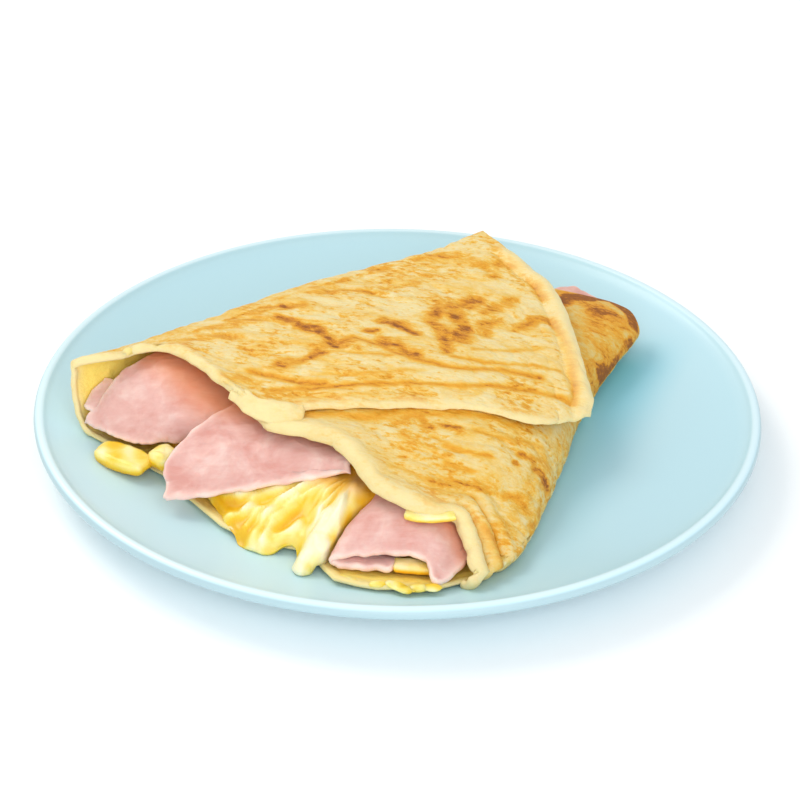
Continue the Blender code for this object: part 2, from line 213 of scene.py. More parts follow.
# Painted shade: a band of deeper teal along the crepe's right side, strongest toward the tail
off_middle = maths(glaze, "SUBTRACT", way_along(glaze, place, OUT_FROM_SIDE), PAINTED_SHADE_OUT)
beside = ranged(glaze, maths(glaze, "ABSOLUTE", off_middle), 2.0, PAINTED_SHADE_HALF_WIDTH, 1.0, 0.0, smooth=True)
far = way_along(glaze, place, ALONG_CREPE_SIDE)
growing = ranged(glaze, far, -80.0, 60.0, 0.1, 0.85, smooth=True)
ending = ranged(glaze, far, 62.0, 92.0, 1.0, 0.0, smooth=True)
painted_shade_band = maths(glaze, "MULTIPLY", beside, maths(glaze, "MULTIPLY", growing, ending))
# Painted light: the glaze is made lighter toward the front left
painted_light_front_left = ranged(glaze, way_along(glaze, place, TO_FRONT_LEFT), 30.0, 110.0, high=0.55, smooth=True)
tint = blend(glaze, painted_shade_band, blend(glaze, painted_light_front_left, tint, "D2F0F7"), "74C4D8")
height = add_node(glaze, "ShaderNodeSeparateXYZ", sockets={0: place}).outputs["Z"]
# The lip's crest is paler: thinner glaze there, and a painted highlight
pale_lip_and_highlight = ranged(glaze, height, RIM_HEIGHT - 0.7, RIM_HEIGHT, high=0.5, smooth=True)
# Painted shade: the outer wall under the lip is darker
outside = ranged(glaze, radius, PLATE_RADIUS - 1.0, PLATE_RADIUS - 0.3, smooth=True)
tint = blend(glaze, outside, blend(glaze, pale_lip_and_highlight, tint, "E4F3F7"), "ABC7CE")
give_surface(glaze, output, {
    "Base Color": tint, "Normal": bump(glaze, clouds(glaze, place, 14, 3.0), 0.05, 1.0),
    "Roughness": 0.36, "IOR": 1.5, "Coat Weight": 0.12, "Coat Roughness": 0.14})
plate.data.materials.append(glaze)
finish_piece(plate, "glaze", "plate")

# The crepe: one thin round of batter, fried in butter and folded while warm. Its right side goes over
# the filling to the left, its left side over that to the right. The pan leaves it pale with golden
# lace, brown spots and long browned wrinkles; its edge stays pale and thick.

ROLL_ORIGIN = (-42.0, -58.0)
ROLL_HEADING = math.radians(55.0)
CREPE_THICKNESS = 1.8
LIP_THICKNESS = 2.2
GAP = 0.35
BASE_LIFT = GAP + CREPE_THICKNESS / 2
FIRST_FOLD_RADIUS = 4.0
LAP_END = -0.37
TAIL_LIFT = 4.5
FLAP_CLEAR = CREPE_THICKNESS + GAP
# Distance of each fold from the roll's middle line, as (a, s)
FIRST_FOLD = [
    (-30, 95), (1, 90.5), (23, 85.5), (51, 77), (80, 67), (97, 60.5), (120, 54), (140, 52), (156, 51),
    (172, 45),
]
LAST_FOLD = [(-30, 84), (-8, 83.5), (20, 72.5), (59, 61), (81, 55), (102, 47.5), (138, 31), (172, 21)]
# Height of the lap's crown along the roll, and both ends of lap and base by the share of the width
LAP_CROWN = [(-20, 30), (4, 32), (35, 34.4), (60, 34.4), (90, 33), (140, 29.5), (156, 27.8), (176, 21)]
LAP_MOUTH = [
    (-0.5, 24), (-0.37, 20), (-0.2, 11), (-0.09, 7), (0.24, 10.7), (0.34, 6.5), (0.47, 1.4), (0.57, 2.4),
    (0.68, 6.3), (0.76, 11), (0.81, 9), (0.89, 5), (1, -2),
]
BASE_MOUTH = [
    (-1, -11.3), (-0.9, -11), (-0.48, -14), (-0.26, -19), (0.07, -24), (0.22, -21), (0.32, -18),
    (0.39, -20), (0.49, -27.4), (0.6, -25.8), (0.73, -21.5), (0.86, -17.5), (0.94, -13), (1, -5),
]
LAP_TAIL = [(-0.6, 148), (0.1, 150.5), (0.35, 153.5), (0.52, 158), (0.79, 165), (0.93, 164.5), (1, 160.5)]
BASE_TAIL = [(-1, 166), (-0.5, 169.5), (0.2, 169), (0.7, 166), (1, 160.5)]
# The last fold's side from base to shoulder: share of the way, inset, height, mouth end, tail end
SIDE = [
    (0, 0.145, 0, -11.3, 166), (0.2, 0.085, 0.1, -10.5, 166), (0.45, 0.035, 0.4, -9, 165.5),
    (0.7, 0.004, 0.76, -6.5, 165), (0.85, 0.014, 0.94, -5, 163.5), (1, 0.12, 1, 4, 161),
]
SHOULDER_HEIGHT = [(-30, 34), (-6, 36.6), (5, 37.2), (140, 37.4), (161, 38.2), (172, 38.4)]
# The flap's free edges, as (a, s, z)
FLAP_MOUTH = [(4, -70, 37.2), (9, -67, 38), (14.5, -59, 39), (14.3, -47, 39.2), (8.8, -23.5, 38)]
FLAP_FRONT = [
    (8.8, -23.5, 38), (9.4, -11, 36.8), (16.2, -0.2, 35.8), (26.8, 12.8, 36), (37.4, 25.8, 36.2),
    (46.6, 35.8, 35.6), (55, 46.8, 34.2), (62, 58.5, 30.8), (68.7, 64.6, 28.3), (79.3, 68.3, 26.2),
    (88, 71.3, 24),
]
FLAP_TAIL = [
    (161, -20, 38), (156.5, -8.8, 37), (145.6, 18.8, 33.6), (134.5, 32.3, 32), (105.5, 58.5, 28),
    (95.2, 67.8, 25), (88, 71.3, 24),
]
# How many steps the sheet's grid has across each zone, and along the roll
SHEET_ACROSS = {"lap": 80, "fold": 7, "base": 26, "side": 22, "flap": 84}
SHEET_ALONG = 212
# Radius of the rolled lip at the mouth, zone by zone
MOUTH_CURL = {"lap": 3.2, "fold": 1.0, "base": 0.05, "side": 1.2, "flap": 2.0}
CURL_TURN = math.radians(105)
CORNER_DRAWN_IN = 7.0
GRAIN = (0.39, 0.92)  # the way the pan's streaks run, along a and along s


def curve(points, x):
    """Smooth interpolation through (key, value) points; flat outside them."""
    keys, values = np.array(points, float).T
    slopes = np.gradient(values, keys)
    x = np.clip(np.asarray(x, float), keys[0], keys[-1])
    i = np.clip(np.searchsorted(keys, x, side="right") - 1, 0, len(keys) - 2)
    h = keys[i + 1] - keys[i]
    t = (x - keys[i]) / h
    return (
        (2 * t**3 - 3 * t**2 + 1) * values[i] + (t**3 - 2 * t**2 + t) * h * slopes[i]
        + (3 * t**2 - 2 * t**3) * values[i + 1] + (t**3 - t**2) * h * slopes[i + 1]
    )


def path(points, t):
    """Point at the share t of the way along a smooth line through the points."""
    points = np.array(points, float)
    length = np.concatenate([[0], np.cumsum(np.linalg.norm(np.diff(points, axis=0), axis=1))])
    length /= length[-1]
    return np.stack([curve(np.stack([length, column], axis=1), t) for column in points.T], axis=-1)


def ease(x):
    """Smooth step from 0 to 1."""
    x = np.clip(x, 0, 1)
    return x * x * (3 - 2 * x)


def to_plate(a, s):
    """Position on the plate of a point given in the roll's frame: a from mouth to tail, s across."""
    c, n = math.cos(ROLL_HEADING), math.sin(ROLL_HEADING)
    return ROLL_ORIGIN[0] + a * c + s * n, ROLL_ORIGIN[1] + a * n - s * c


def to_roll(x, y):
    """Place in the roll's frame of a point on the plate."""
    c, n = math.cos(ROLL_HEADING), math.sin(ROLL_HEADING)
    x, y = x - ROLL_ORIGIN[0], y - ROLL_ORIGIN[1]
    return x * c + y * n, x * n - y * c


def across(s, a):
    """Share of the half width, -1 on the last fold and 1 on the first."""
    return np.where(s > 0, s / curve(FIRST_FOLD, a), s / curve(LAST_FOLD, a))


def base_height(a, s):
    """Height of the middle of the sheet that lies on the plate."""
    lift = TAIL_LIFT * ease((a - 112) / 45) * ease((across(s, a) - 0.25) / 0.7)
    return plate_face(np.hypot(*to_plate(a, s))) + BASE_LIFT + lift


def lap_height(a, s, share=None):
    """Height of the middle of the covered lap, which comes down to the first fold on the right."""
    foot = base_height(a, s) + FIRST_FOLD_RADIUS
    power = 1.3 - 0.8 * ease((a - 5) / 45)
    raised = np.clip(1 - np.abs(across(s, a) if share is None else share) ** 3, 0, 1) ** power
    return foot + (curve(LAP_CROWN, a) - foot) * raised


def drawn_in(share, a):
    """How far the mouth's right corner draws in from the first fold."""
    return CORNER_DRAWN_IN * ease((share - 0.62) / 0.38) * ease((20 - a) / 24)


def dense_ends(count, pull):
    """Shares from 0 to 1 that lie closer together at both ends."""
    t = np.linspace(0, 1, count)
    return t - pull * np.sin(2 * np.pi * t) / (2 * np.pi)


def sheet_zones():
    """The folded sheet's middle surface, zone by zone: rows of (a, s, z) from the mouth to the tail."""
    v = dense_ends(SHEET_ALONG, 0.5)
    zones = {}

    # Covered lap, from its free end over the filling to the right
    turn = np.linspace(math.asin(LAP_END), math.pi / 2, SHEET_ACROSS["lap"])
    share, row = np.meshgrid(np.sin(turn), v)
    a = curve(LAP_MOUTH, share) * (1 - row) + curve(LAP_TAIL, share) * row
    s = share * np.where(share > 0, curve(FIRST_FOLD, a), curve(LAST_FOLD, a)) - drawn_in(share, a)
    zones["lap"] = np.stack([a, s, lap_height(a, s, share)], axis=-1)

    # First fold
    turn, row = np.meshgrid(np.linspace(0, math.pi / 2, SHEET_ACROSS["fold"] + 2)[1:-1], v)
    a = curve(BASE_MOUTH, 1) * (1 - row) + curve(BASE_TAIL, 1) * row
    s = curve(FIRST_FOLD, a) - FIRST_FOLD_RADIUS * (1 - np.cos(turn)) - drawn_in(1.0, a)
    z = base_height(a, s) + FIRST_FOLD_RADIUS * (1 - np.sin(turn))
    zones["fold"] = np.stack([a, s, z], axis=-1)

    # Base on the plate, from right to left
    share, row = np.meshgrid(np.linspace(1, -1, SHEET_ACROSS["base"]), v)
    a = curve(BASE_MOUTH, share) * (1 - row) + curve(BASE_TAIL, share) * row
    right = curve(FIRST_FOLD, a) - FIRST_FOLD_RADIUS
    left = curve(LAST_FOLD, a) * (1 - SIDE[0][1])
    s = share * np.where(share > 0, right, left) - drawn_in(share, a)
    zones["base"] = np.stack([a, s, base_height(a, s)], axis=-1)

    # Side of the last fold, up to the shoulder
    step, row = np.meshgrid(np.linspace(0, 1, SHEET_ACROSS["side"] + 1)[1:], v)
    inset, height, mouth, tail = (curve([(p[0], p[k]) for p in SIDE], step) for k in (1, 2, 3, 4))
    a = mouth * (1 - row) + tail * row
    s = -curve(LAST_FOLD, a) * (1 - inset)
    low = base_height(a, s)
    zones["side"] = np.stack([a, s, low + (curve(SHOULDER_HEIGHT, a) - low) * height], axis=-1)

    # Flap: a sheet stretched between its four edges, held clear of the lap
    shoulder = zones["side"][:, -1]
    w, row = np.meshgrid(np.linspace(0, 1, SHEET_ACROSS["flap"] + 1)[1:], v)
    w = w + 0.35 * np.sin(np.pi * w) * w * (1 - w)
    mouth = path([shoulder[0]] + FLAP_MOUTH[1:], w)
    tail = path([shoulder[-1]] + FLAP_TAIL[1:], w)
    front = path(FLAP_FRONT, row)
    back = np.repeat(shoulder[:, None], w.shape[1], axis=1)
    w, row = w[..., None], row[..., None]
    corners = (1 - row) * ((1 - w) * shoulder[0] + w * FLAP_FRONT[0])
    corners = corners + row * ((1 - w) * shoulder[-1] + w * FLAP_FRONT[-1])
    flap = (1 - row) * mouth + row * tail + (1 - w) * back + w * front - corners
    inside = ease((1.02 - np.abs(across(flap[..., 1], flap[..., 0]))) / 0.04)
    rest = (lap_height(flap[..., 0], flap[..., 1]) + FLAP_CLEAR) * inside
    flap[..., 2] = np.maximum(flap[..., 2], rest)
    zones["flap"] = flap
    return zones


def along(points, axis):
    """Distance of each point from the first of its line along that axis of the grid."""
    steps = np.linalg.norm(np.diff(points, axis=axis), axis=-1)
    start = np.zeros_like(np.take(steps, [0], axis=axis))
    return np.concatenate([start, np.cumsum(steps, axis=axis)], axis=axis)


def face_normals(points):
    """Unit normals of a grid, on its outer side."""
    normal = np.cross(np.gradient(points, axis=0), np.gradient(points, axis=1))
    return normal / np.maximum(np.linalg.norm(normal, axis=-1, keepdims=True), 1e-9)


def distance_to(line, a, s):
    """Distance of points in the roll's plan from a broken line."""
    nearest = np.full(np.shape(a), 1e9)
    line = np.array(line, float)[:, :2]
    for start, end in zip(line, line[1:]):
        step = end - start
        share = ((a - start[0]) * step[0] + (s - start[1]) * step[1]) / (step @ step)
        share = np.clip(share, 0, 1)
        off_a, off_s = a - start[0] - share * step[0], s - start[1] - share * step[1]
        nearest = np.minimum(nearest, np.hypot(off_a, off_s))
    return nearest


def grain(points, size, seed):
    """Smooth noise from -1 to 1 over points in millimetres, with features of about that size."""
    flat = points.reshape(-1, 3) / size + seed * 17.3
    return np.array([noise.noise(Vector(p)) for p in flat.tolist()]).reshape(points.shape[:-1])


def crumple(points, size, seed):
    """Creased relief from -1 to 0.5: sharp valleys between soft pillows."""
    return 0.5 - 1.5 * np.exp(-np.abs(grain(points, size, seed)) * 7)


# Browned marks on the upper faces, in the roll's plan (a, s): each is a line through the mark, its
# half width and how brown it is. The blotches come first, then the long wrinkles; one line on the
# lap is a painted shadow under the flap's front edge.
FLAP_BLOTCHES = [
    ([(78, 18), (86, 9), (91, 1), (98, 0)], 4.2, 0.85),
    ([(86, 17), (95, 14), (104, 2), (112, 4), (116, 6)], 4.6, 0.95),
    ([(78, -10), (81, -5), (79, 3)], 3.4, 1.0),
    ([(69, -11), (70, -9)], 2.6, 0.95),
    ([(110, 12), (118, 13.7), (124, 15.8)], 3.8, 0.85),
    ([(108, 27), (117, 27.7), (124, 31), (121, 38)], 3.2, 0.85),
    ([(98, -27), (104, -22), (111, -18)], 2.8, 0.7),
    ([(80, -45), (88, -37), (94, -27)], 2.6, 0.7),
    ([(57, -53), (63, -46), (69, -41)], 3.6, 0.8),
    ([(57, -42), (58, -34), (58, -24), (54, -14)], 4.0, 0.95),
    ([(33, -22), (38, -17), (48, -15)], 3.4, 0.9),
    ([(12, -31), (16, -26), (17, -20)], 3.0, 0.6),
    ([(66, -4), (67, 6), (66, 12)], 4.4, 0.95),
    ([(141, 15), (135, 23)], 3.4, 0.9),
    ([(144, -5), (149, 3)], 3.4, 0.8),
    ([(130, -30), (140, -14), (136, 0)], 4.4, 0.7),
    ([(46, -56), (67, -58), (80, -50), (91, -45), (120, -36)], 4.2, 0.75),
    ([(20, -60), (30, -52), (36, -44)], 4.4, 0.7),
    ([(30, -62), (44, -52), (50, -47)], 4.0, 0.65),
    ([(96, 22), (104, 16), (108, 20)], 3.4, 0.7),
    ([(120, -20), (128, -10)], 4.0, 0.5),
]
FLAP_WRINKLES = [
    ([(54, -14), (62, -12), (64, -2), (63, 8), (65, 17), (69, 28), (80, 38), (88, 50)], 1.8, 0.9),
    ([(18, -14), (25, -7), (35, 4), (46, 16), (55, 26), (61, 35), (69, 42), (75, 48), (85, 60), (87, 65)],
     1.6, 0.85),
    ([(22, -26), (25, -18), (28, -9), (32, -2)], 1.9, 0.9),
    ([(122, 36), (117, 43), (108, 52), (96, 60), (89, 64)], 1.9, 0.95),
    ([(96, 60), (99, 64)], 1.0, 0.7),
    ([(34, -8), (44, 5), (52, 12), (60, 20)], 1.2, 0.35),
    ([(74, 22), (80, 32), (92, 44), (97, 52)], 1.2, 0.7),
    ([(16, -12), (24, 0), (38, 16)], 1.2, 0.3),
    ([(48, -15), (56, -2), (60, 6)], 1.2, 0.6),
    ([(84, 24), (94, 34), (104, 40)], 1.1, 0.5),
]
LAP_BLOTCHES = [
    ([(38, 31), (36, 38)], 2.2, 0.9),
    ([(41, 41), (42, 46)], 2.4, 0.95),
    ([(50, 66), (53, 69)], 2.2, 0.95),
    ([(44.5, 67.5), (45.5, 68)], 1.6, 1.0),
    ([(51, 72), (52.3, 75)], 2.8, 1.1),
    ([(18, 53), (23, 60), (27, 65), (32, 69)], 3.4, 0.75),
    ([(32, 71), (36, 78)], 2.6, 0.85),
    ([(68, 72), (66, 74)], 2.0, 0.9),
    ([(45, 78), (44, 80), (30, 84)], 2.2, 0.8),
    ([(138, 22), (150, 25), (164, 33)], 3.4, 2.0),
    ([(164, 36), (163, 44), (157, 49)], 2.6, 1.9),
    ([(128, 53), (140, 54), (151, 54)], 3.0, 1.8),
    ([(150, 36), (156, 42)], 2.2, 1.0),
    ([(118, 46), (135, 42), (150, 38)], 8.0, 0.55),
    ([(140, 22), (150, 26), (160, 30)], 7.0, 0.5),
    ([(100, 58), (112, 55), (122, 52)], 5.0, 0.55),
    ([(70, 72), (84, 68), (94, 63)], 5.0, 0.5),
    ([(8, 72), (22, 78), (40, 76), (60, 70)], 5.0, 0.5),
]
LAP_WRINKLES_AND_SHADOW = [
    ([(33, 41), (34, 47), (35, 52), (37, 57), (40, 60)], 1.3, 0.75),
    # A painted shadow, not a wrinkle: this line runs just under the flap's front edge
    ([(10, -9), (15, 0), (24, 14), (36, 27), (47, 39), (54, 47), (60, 56)], 2.6, 0.7),
    ([(15, 76), (14, 79), (10, 85), (2.5, 90)], 1.7, 0.85),
    ([(26, 34), (28, 42), (27, 52), (30, 60)], 1.2, 0.45),
    ([(44, 50), (50, 58), (62, 66)], 1.2, 0.5),
    ([(12, 40), (16, 50), (15, 58)], 1.4, 0.35),
]
# Pleats at the right corner, gathered along the mouth: distance from the edge, width, height
PLEATS = [(3.6, 1.7, 1.3), (7.0, 1.2, -1.6), (10.4, 1.9, 1.6), (14.2, 1.3, -1.2), (18.0, 2.2, 0.8)]


def marked(marks, a, s):
    """How brown the marks leave each point, from 0 to 1."""
    brown = np.zeros(np.shape(a))
    for line, half_width, depth in marks:
        brown = np.maximum(brown, depth * np.exp(-((distance_to(line, a, s) / half_width) ** 2)))
    return brown


def evened(directions, over=5):
    """Unit directions, averaged with their neighbours along the sheet's edge."""
    sides = [np.convolve(np.pad(d, over // 2, mode="edge"), np.ones(over), "valid") for d in directions.T]
    mean = np.stack(sides, axis=-1)
    return mean / np.linalg.norm(mean, axis=-1, keepdims=True)


zones = sheet_zones()
sheet = np.concatenate(list(zones.values()), axis=1)
zone_of = np.concatenate([np.full(zones[name].shape[1], name) for name in zones])[None, :]
on_lap, on_base, on_flap = zone_of == "lap", zone_of == "base", zone_of == "flap"
on_side = zone_of == "side"

# Uneven edges: the batter ran out in shallow tongues
inward = sheet[6] - sheet[0]
inward = (inward / np.linalg.norm(inward, axis=-1, keepdims=True))[None]
inland = sheet[:, -7] - sheet[:, -1]
inland = (inland / np.linalg.norm(inland, axis=-1, keepdims=True))[:, None]
tongues = (1.2 + 0.6 * on_base) * grain(sheet[:1], 9, 6) + 0.6 * grain(sheet[:1], 3.5, 7)
sheet = sheet + inward * (tongues * np.exp(-along(sheet, 0) / 5))[..., None]
tongues = 0.8 * grain(sheet[:, -1:], 10, 8) + 0.5 * grain(sheet[:, -1:], 4, 9)
from_free_edge = along(sheet[:, ::-1], 1)[:, ::-1]
sheet = sheet + inland * (tongues * np.exp(-from_free_edge / 5) * on_flap)[..., None]

# The lip at the mouth rolls in, tightest at the right corner. The sheet is swelled a little there, so
# that the roll doesn't lower its crest, and the roll starts where the sheet bends, along its own way
curl = np.zeros(zone_of.shape)
for name, size in MOUTH_CURL.items():
    curl = np.where(zone_of == name, size, curl)
curl = curl * (1 + 0.4 * grain(sheet[:1], 14, 10) + 0.2 * grain(sheet[:1], 6, 10))
right_share = sheet[:1, :, 1] / 90
narrowed = 0.5 + 0.5 * ease((0.92 - right_share) / 0.3)
narrowed = narrowed * (0.65 + 0.35 * ease((right_share + 0.05) / 0.2))
curl = np.where(on_lap, curl * narrowed, curl)
smoothing = np.ones(7) / 7
curl = np.convolve(np.pad(curl[0], 3, mode="edge"), smoothing, mode="valid")[None, :]
from_mouth = along(sheet, 0)
outer = face_normals(sheet)
sheet = sheet + outer * (0.85 * curl * np.exp(-((from_mouth / 9) ** 2)))[..., None]
curl = np.maximum(curl, np.where(on_base, 0.05, 1.6))
full_turn = CURL_TURN * ease((curl - 0.1) / 1.4)
start = curl * full_turn
turn = np.clip((start - from_mouth) / curl, 0, None)
column = np.arange(sheet.shape[1])
row = np.maximum(np.argmax(from_mouth >= start, axis=0), 1)
before = from_mouth[row - 1, column]
share = (start[0] - before) / (from_mouth[row, column] - before)
bend = sheet[row - 1, column] + (sheet[row, column] - sheet[row - 1, column]) * share[:, None]
forward = evened(sheet[row + 2, column] - sheet[np.maximum(row - 3, 0), column])
upright = evened(outer[row, column])
upright = evened(upright - forward * (upright * forward).sum(-1, keepdims=True), 1)
at = (bend - forward * (start - curl).T)[None]
rolled = at - forward * (curl * np.sin(turn))[..., None]
rolled = rolled - upright * (curl * (1 - np.cos(turn)))[..., None]
pushed = sheet - forward * ((start - curl) * np.exp(-np.maximum(from_mouth - start, 0) / 6))[..., None]
sheet = np.where((turn > 0)[..., None], rolled, pushed)

# Browned marks, frayed by the batter's bubbles
a, s = sheet[..., 0], sheet[..., 1]
frayed_a = a + 1.8 * grain(sheet, 7, 11) + 0.8 * grain(sheet, 3, 12)
frayed_s = s + 1.8 * grain(sheet, 7, 13) + 0.8 * grain(sheet, 3, 14)
brown = np.where(on_flap, marked(FLAP_BLOTCHES, frayed_a, frayed_s), 0)
brown = np.where(on_lap, marked(LAP_BLOTCHES, frayed_a, frayed_s), brown)
wavering_a, wavering_s = a + 0.5 * grain(sheet, 5, 15), s + 0.5 * grain(sheet, 5, 16)
wrinkles_and_shade = np.where(on_flap, marked(FLAP_WRINKLES, wavering_a, wavering_s), 0)
wrinkles_and_shade = np.where(on_lap, marked(LAP_WRINKLES_AND_SHADOW, frayed_a, frayed_s), wrinkles_and_shade)
brown = np.maximum(brown, np.where(on_side, 0.3 + 0.4 * grain(sheet, 14, 17), 0))
brown = np.maximum(brown, on_lap * ease((a - 96) / 30) * (0.55 + 0.5 * grain(sheet, 9, 38)))

# Relief: slow waves and crumples, browned wrinkles as grooves, the raised lip along the flap's tail
# edge, the pleats, and an uneven edge at the mouth
outer = face_normals(sheet)
from_mouth, from_tail = along(sheet, 0), along(sheet[::-1], 0)[::-1]
from_lap_end, from_flap_end = along(sheet, 1), along(sheet[:, ::-1], 1)[:, ::-1]
to_tail_edge = distance_to(FLAP_TAIL, a, s)
to_front_edge = distance_to(FLAP_FRONT, a, s)
to_low_corner = np.hypot(a - FLAP_FRONT[-1][0], s - FLAP_FRONT[-1][1])
flap_end = curve([(p[0], p[1]) for p in FLAP_FRONT], a)
shown = np.where(on_lap, ease((s - flap_end + 3) / 3 + (a > 88)), 1.0)
shown = np.where(on_base, ease((6 - a) / 10), shown)
drawn = np.stack([(GRAIN[0] * a + GRAIN[1] * s) / 3.5, GRAIN[1] * a - GRAIN[0] * s, sheet[..., 2]], axis=-1)
corner = ease((s - 58) / 14) * (on_lap + 0.5 * (zone_of == "fold"))
# Painted shade: the pleats' valleys are darkened like the browned wrinkles
for place, width, height in PLEATS:
    if height < 0:
        wrinkles_and_shade = np.maximum(wrinkles_and_shade, 0.9 * corner * np.exp(-(((from_mouth - place) / (0.8 * width)) ** 2)))
relief = 0.5 * grain(sheet, 26, 1) + 0.25 * grain(sheet, 10, 2) + 0.12 * grain(sheet, 4, 3)
creases = 0.42 * crumple(drawn, 6, 4) * (0.6 + on_lap * 0.4) + 0.3 * crumple(sheet, 9, 5)
relief += creases * (1 - 0.8 * np.exp(-((from_mouth / 5) ** 2))) + 0.3 * grain(drawn, 3, 25)
relief += on_lap * 0.5 * grain(sheet, 17, 18)
relief -= 0.15 * brown + 0.32 * wrinkles_and_shade
tail_lip = on_flap * ease((s + 14) / 12)
relief += tail_lip * 1.5 * np.exp(-(((to_tail_edge - 3.0) / 2.2) ** 2))
relief -= tail_lip * 0.7 * np.exp(-(((to_tail_edge - 7) / 1.5) ** 2))
relief += on_flap * 1.7 * grain(sheet, 4.5, 19) * np.exp(-((to_low_corner / 11) ** 2))
relief += on_flap * 0.7 * np.exp(-((to_front_edge / 4.5) ** 2)) * (1.5 * grain(sheet, 11, 20) - 0.6)
for place, width, height in PLEATS:
    pleat = height * np.exp(-(((from_mouth - place) / width) ** 2))
    relief += corner * pleat * (1 + 0.5 * grain(sheet, 9, 26))
lip_waves = grain(sheet, 5, 21) + 0.6 * grain(sheet, 2.6, 22)
relief += 0.36 * lip_waves * np.exp(-((from_mouth / 8) ** 2)) * (1 - 0.4 * on_base)
relief += on_base * 0.9 * (1 + grain(sheet, 8, 23)) * np.exp(-((from_mouth / 4) ** 2))
sheet = sheet + outer * (relief * shown * (1 - 2 * on_base))[..., None]


def rounded(from_edge, reach, least):
    """Share of the full thickness near an edge, which is round within that reach."""
    return np.sqrt(np.clip(1 - (1 - np.clip(from_edge / reach, 0, 1)) ** 2, least, 1))


# Thickness: rounded off at the sheet's edge, thicker just inside it
from_edge = np.minimum(np.minimum(from_mouth, from_tail), np.minimum(from_lap_end, from_flap_end))
thicker = (LIP_THICKNESS - CREPE_THICKNESS) * np.exp(-((from_edge / 6) ** 2)) * (1 - on_base)
thick_share = (CREPE_THICKNESS + thicker) * rounded(from_edge, 1.1, 0.02) / LIP_THICKNESS
pale = np.exp(-((from_mouth / (4 + 3 * on_lap)) ** 2)) * (0.85 + 0.5 * grain(sheet, 7, 27))
pale = np.maximum(pale, on_flap * np.exp(-((from_flap_end / 3.5) ** 2)) * (0.7 + 0.5 * grain(sheet, 9, 24)))
pale = np.maximum(pale, tail_lip * np.exp(-((to_tail_edge / 4.5) ** 2)))
pale = np.clip(pale, 0, 1)

rows, columns = sheet.shape[:2]
bpy.ops.mesh.primitive_grid_add(x_subdivisions=columns - 1, y_subdivisions=rows - 1, size=0.2)
crepe = bpy.context.object
crepe.name = crepe.data.name = "folded_crepe"


def lay_out(piece, points):
    """Give a grid its points, row by row, and leave its object at the origin."""
    x, y = to_plate(points[..., 0], points[..., 1])
    places = np.stack([x, y, points[..., 2]], axis=-1).reshape(-1, 3) * MM
    piece.data.vertices.foreach_set("co", places.astype(np.float32).ravel())
    piece.location = (0, 0, 0)
    piece.data.update()


def store(piece, name, values):
    """Keep a value of each point with the mesh, for the material."""
    kept = piece.data.attributes.new(name, "FLOAT", "POINT")
    kept.data.foreach_set("value", np.asarray(values, np.float32).ravel())


def apply_modifier(piece, kind, **settings):
    """Finish the piece with one modifier."""
    bpy.context.view_layer.objects.active = piece
    modifier = piece.modifiers.new(kind.title(), kind)
    for name, value in settings.items():
        setattr(modifier, name, value)
    bpy.ops.object.modifier_apply(modifier=modifier.name)


def thicken(piece, thickness, shares, **settings):
    """Make the sheet solid, half of each point's share of the thickness to either side."""
    group = piece.vertex_groups.new(name="thickness")
    for index, share in enumerate(shares.ravel().tolist()):
        group.add([index], share, "REPLACE")
    settings.update(thickness=thickness * MM, offset=0.0, vertex_group="thickness")
    apply_modifier(piece, "SOLIDIFY", **settings)
    bpy.ops.object.shade_smooth()


lay_out(crepe, sheet)
store(crepe, "browning", brown)
store(crepe, "wrinkles_and_shade", wrinkles_and_shade)
store(crepe, "pale", pale)
# Painted shade on the lap, growing toward the tail
store(crepe, "painted_lap_shade", on_lap * (0.3 + 0.7 * ease((a - 96) / 30)))


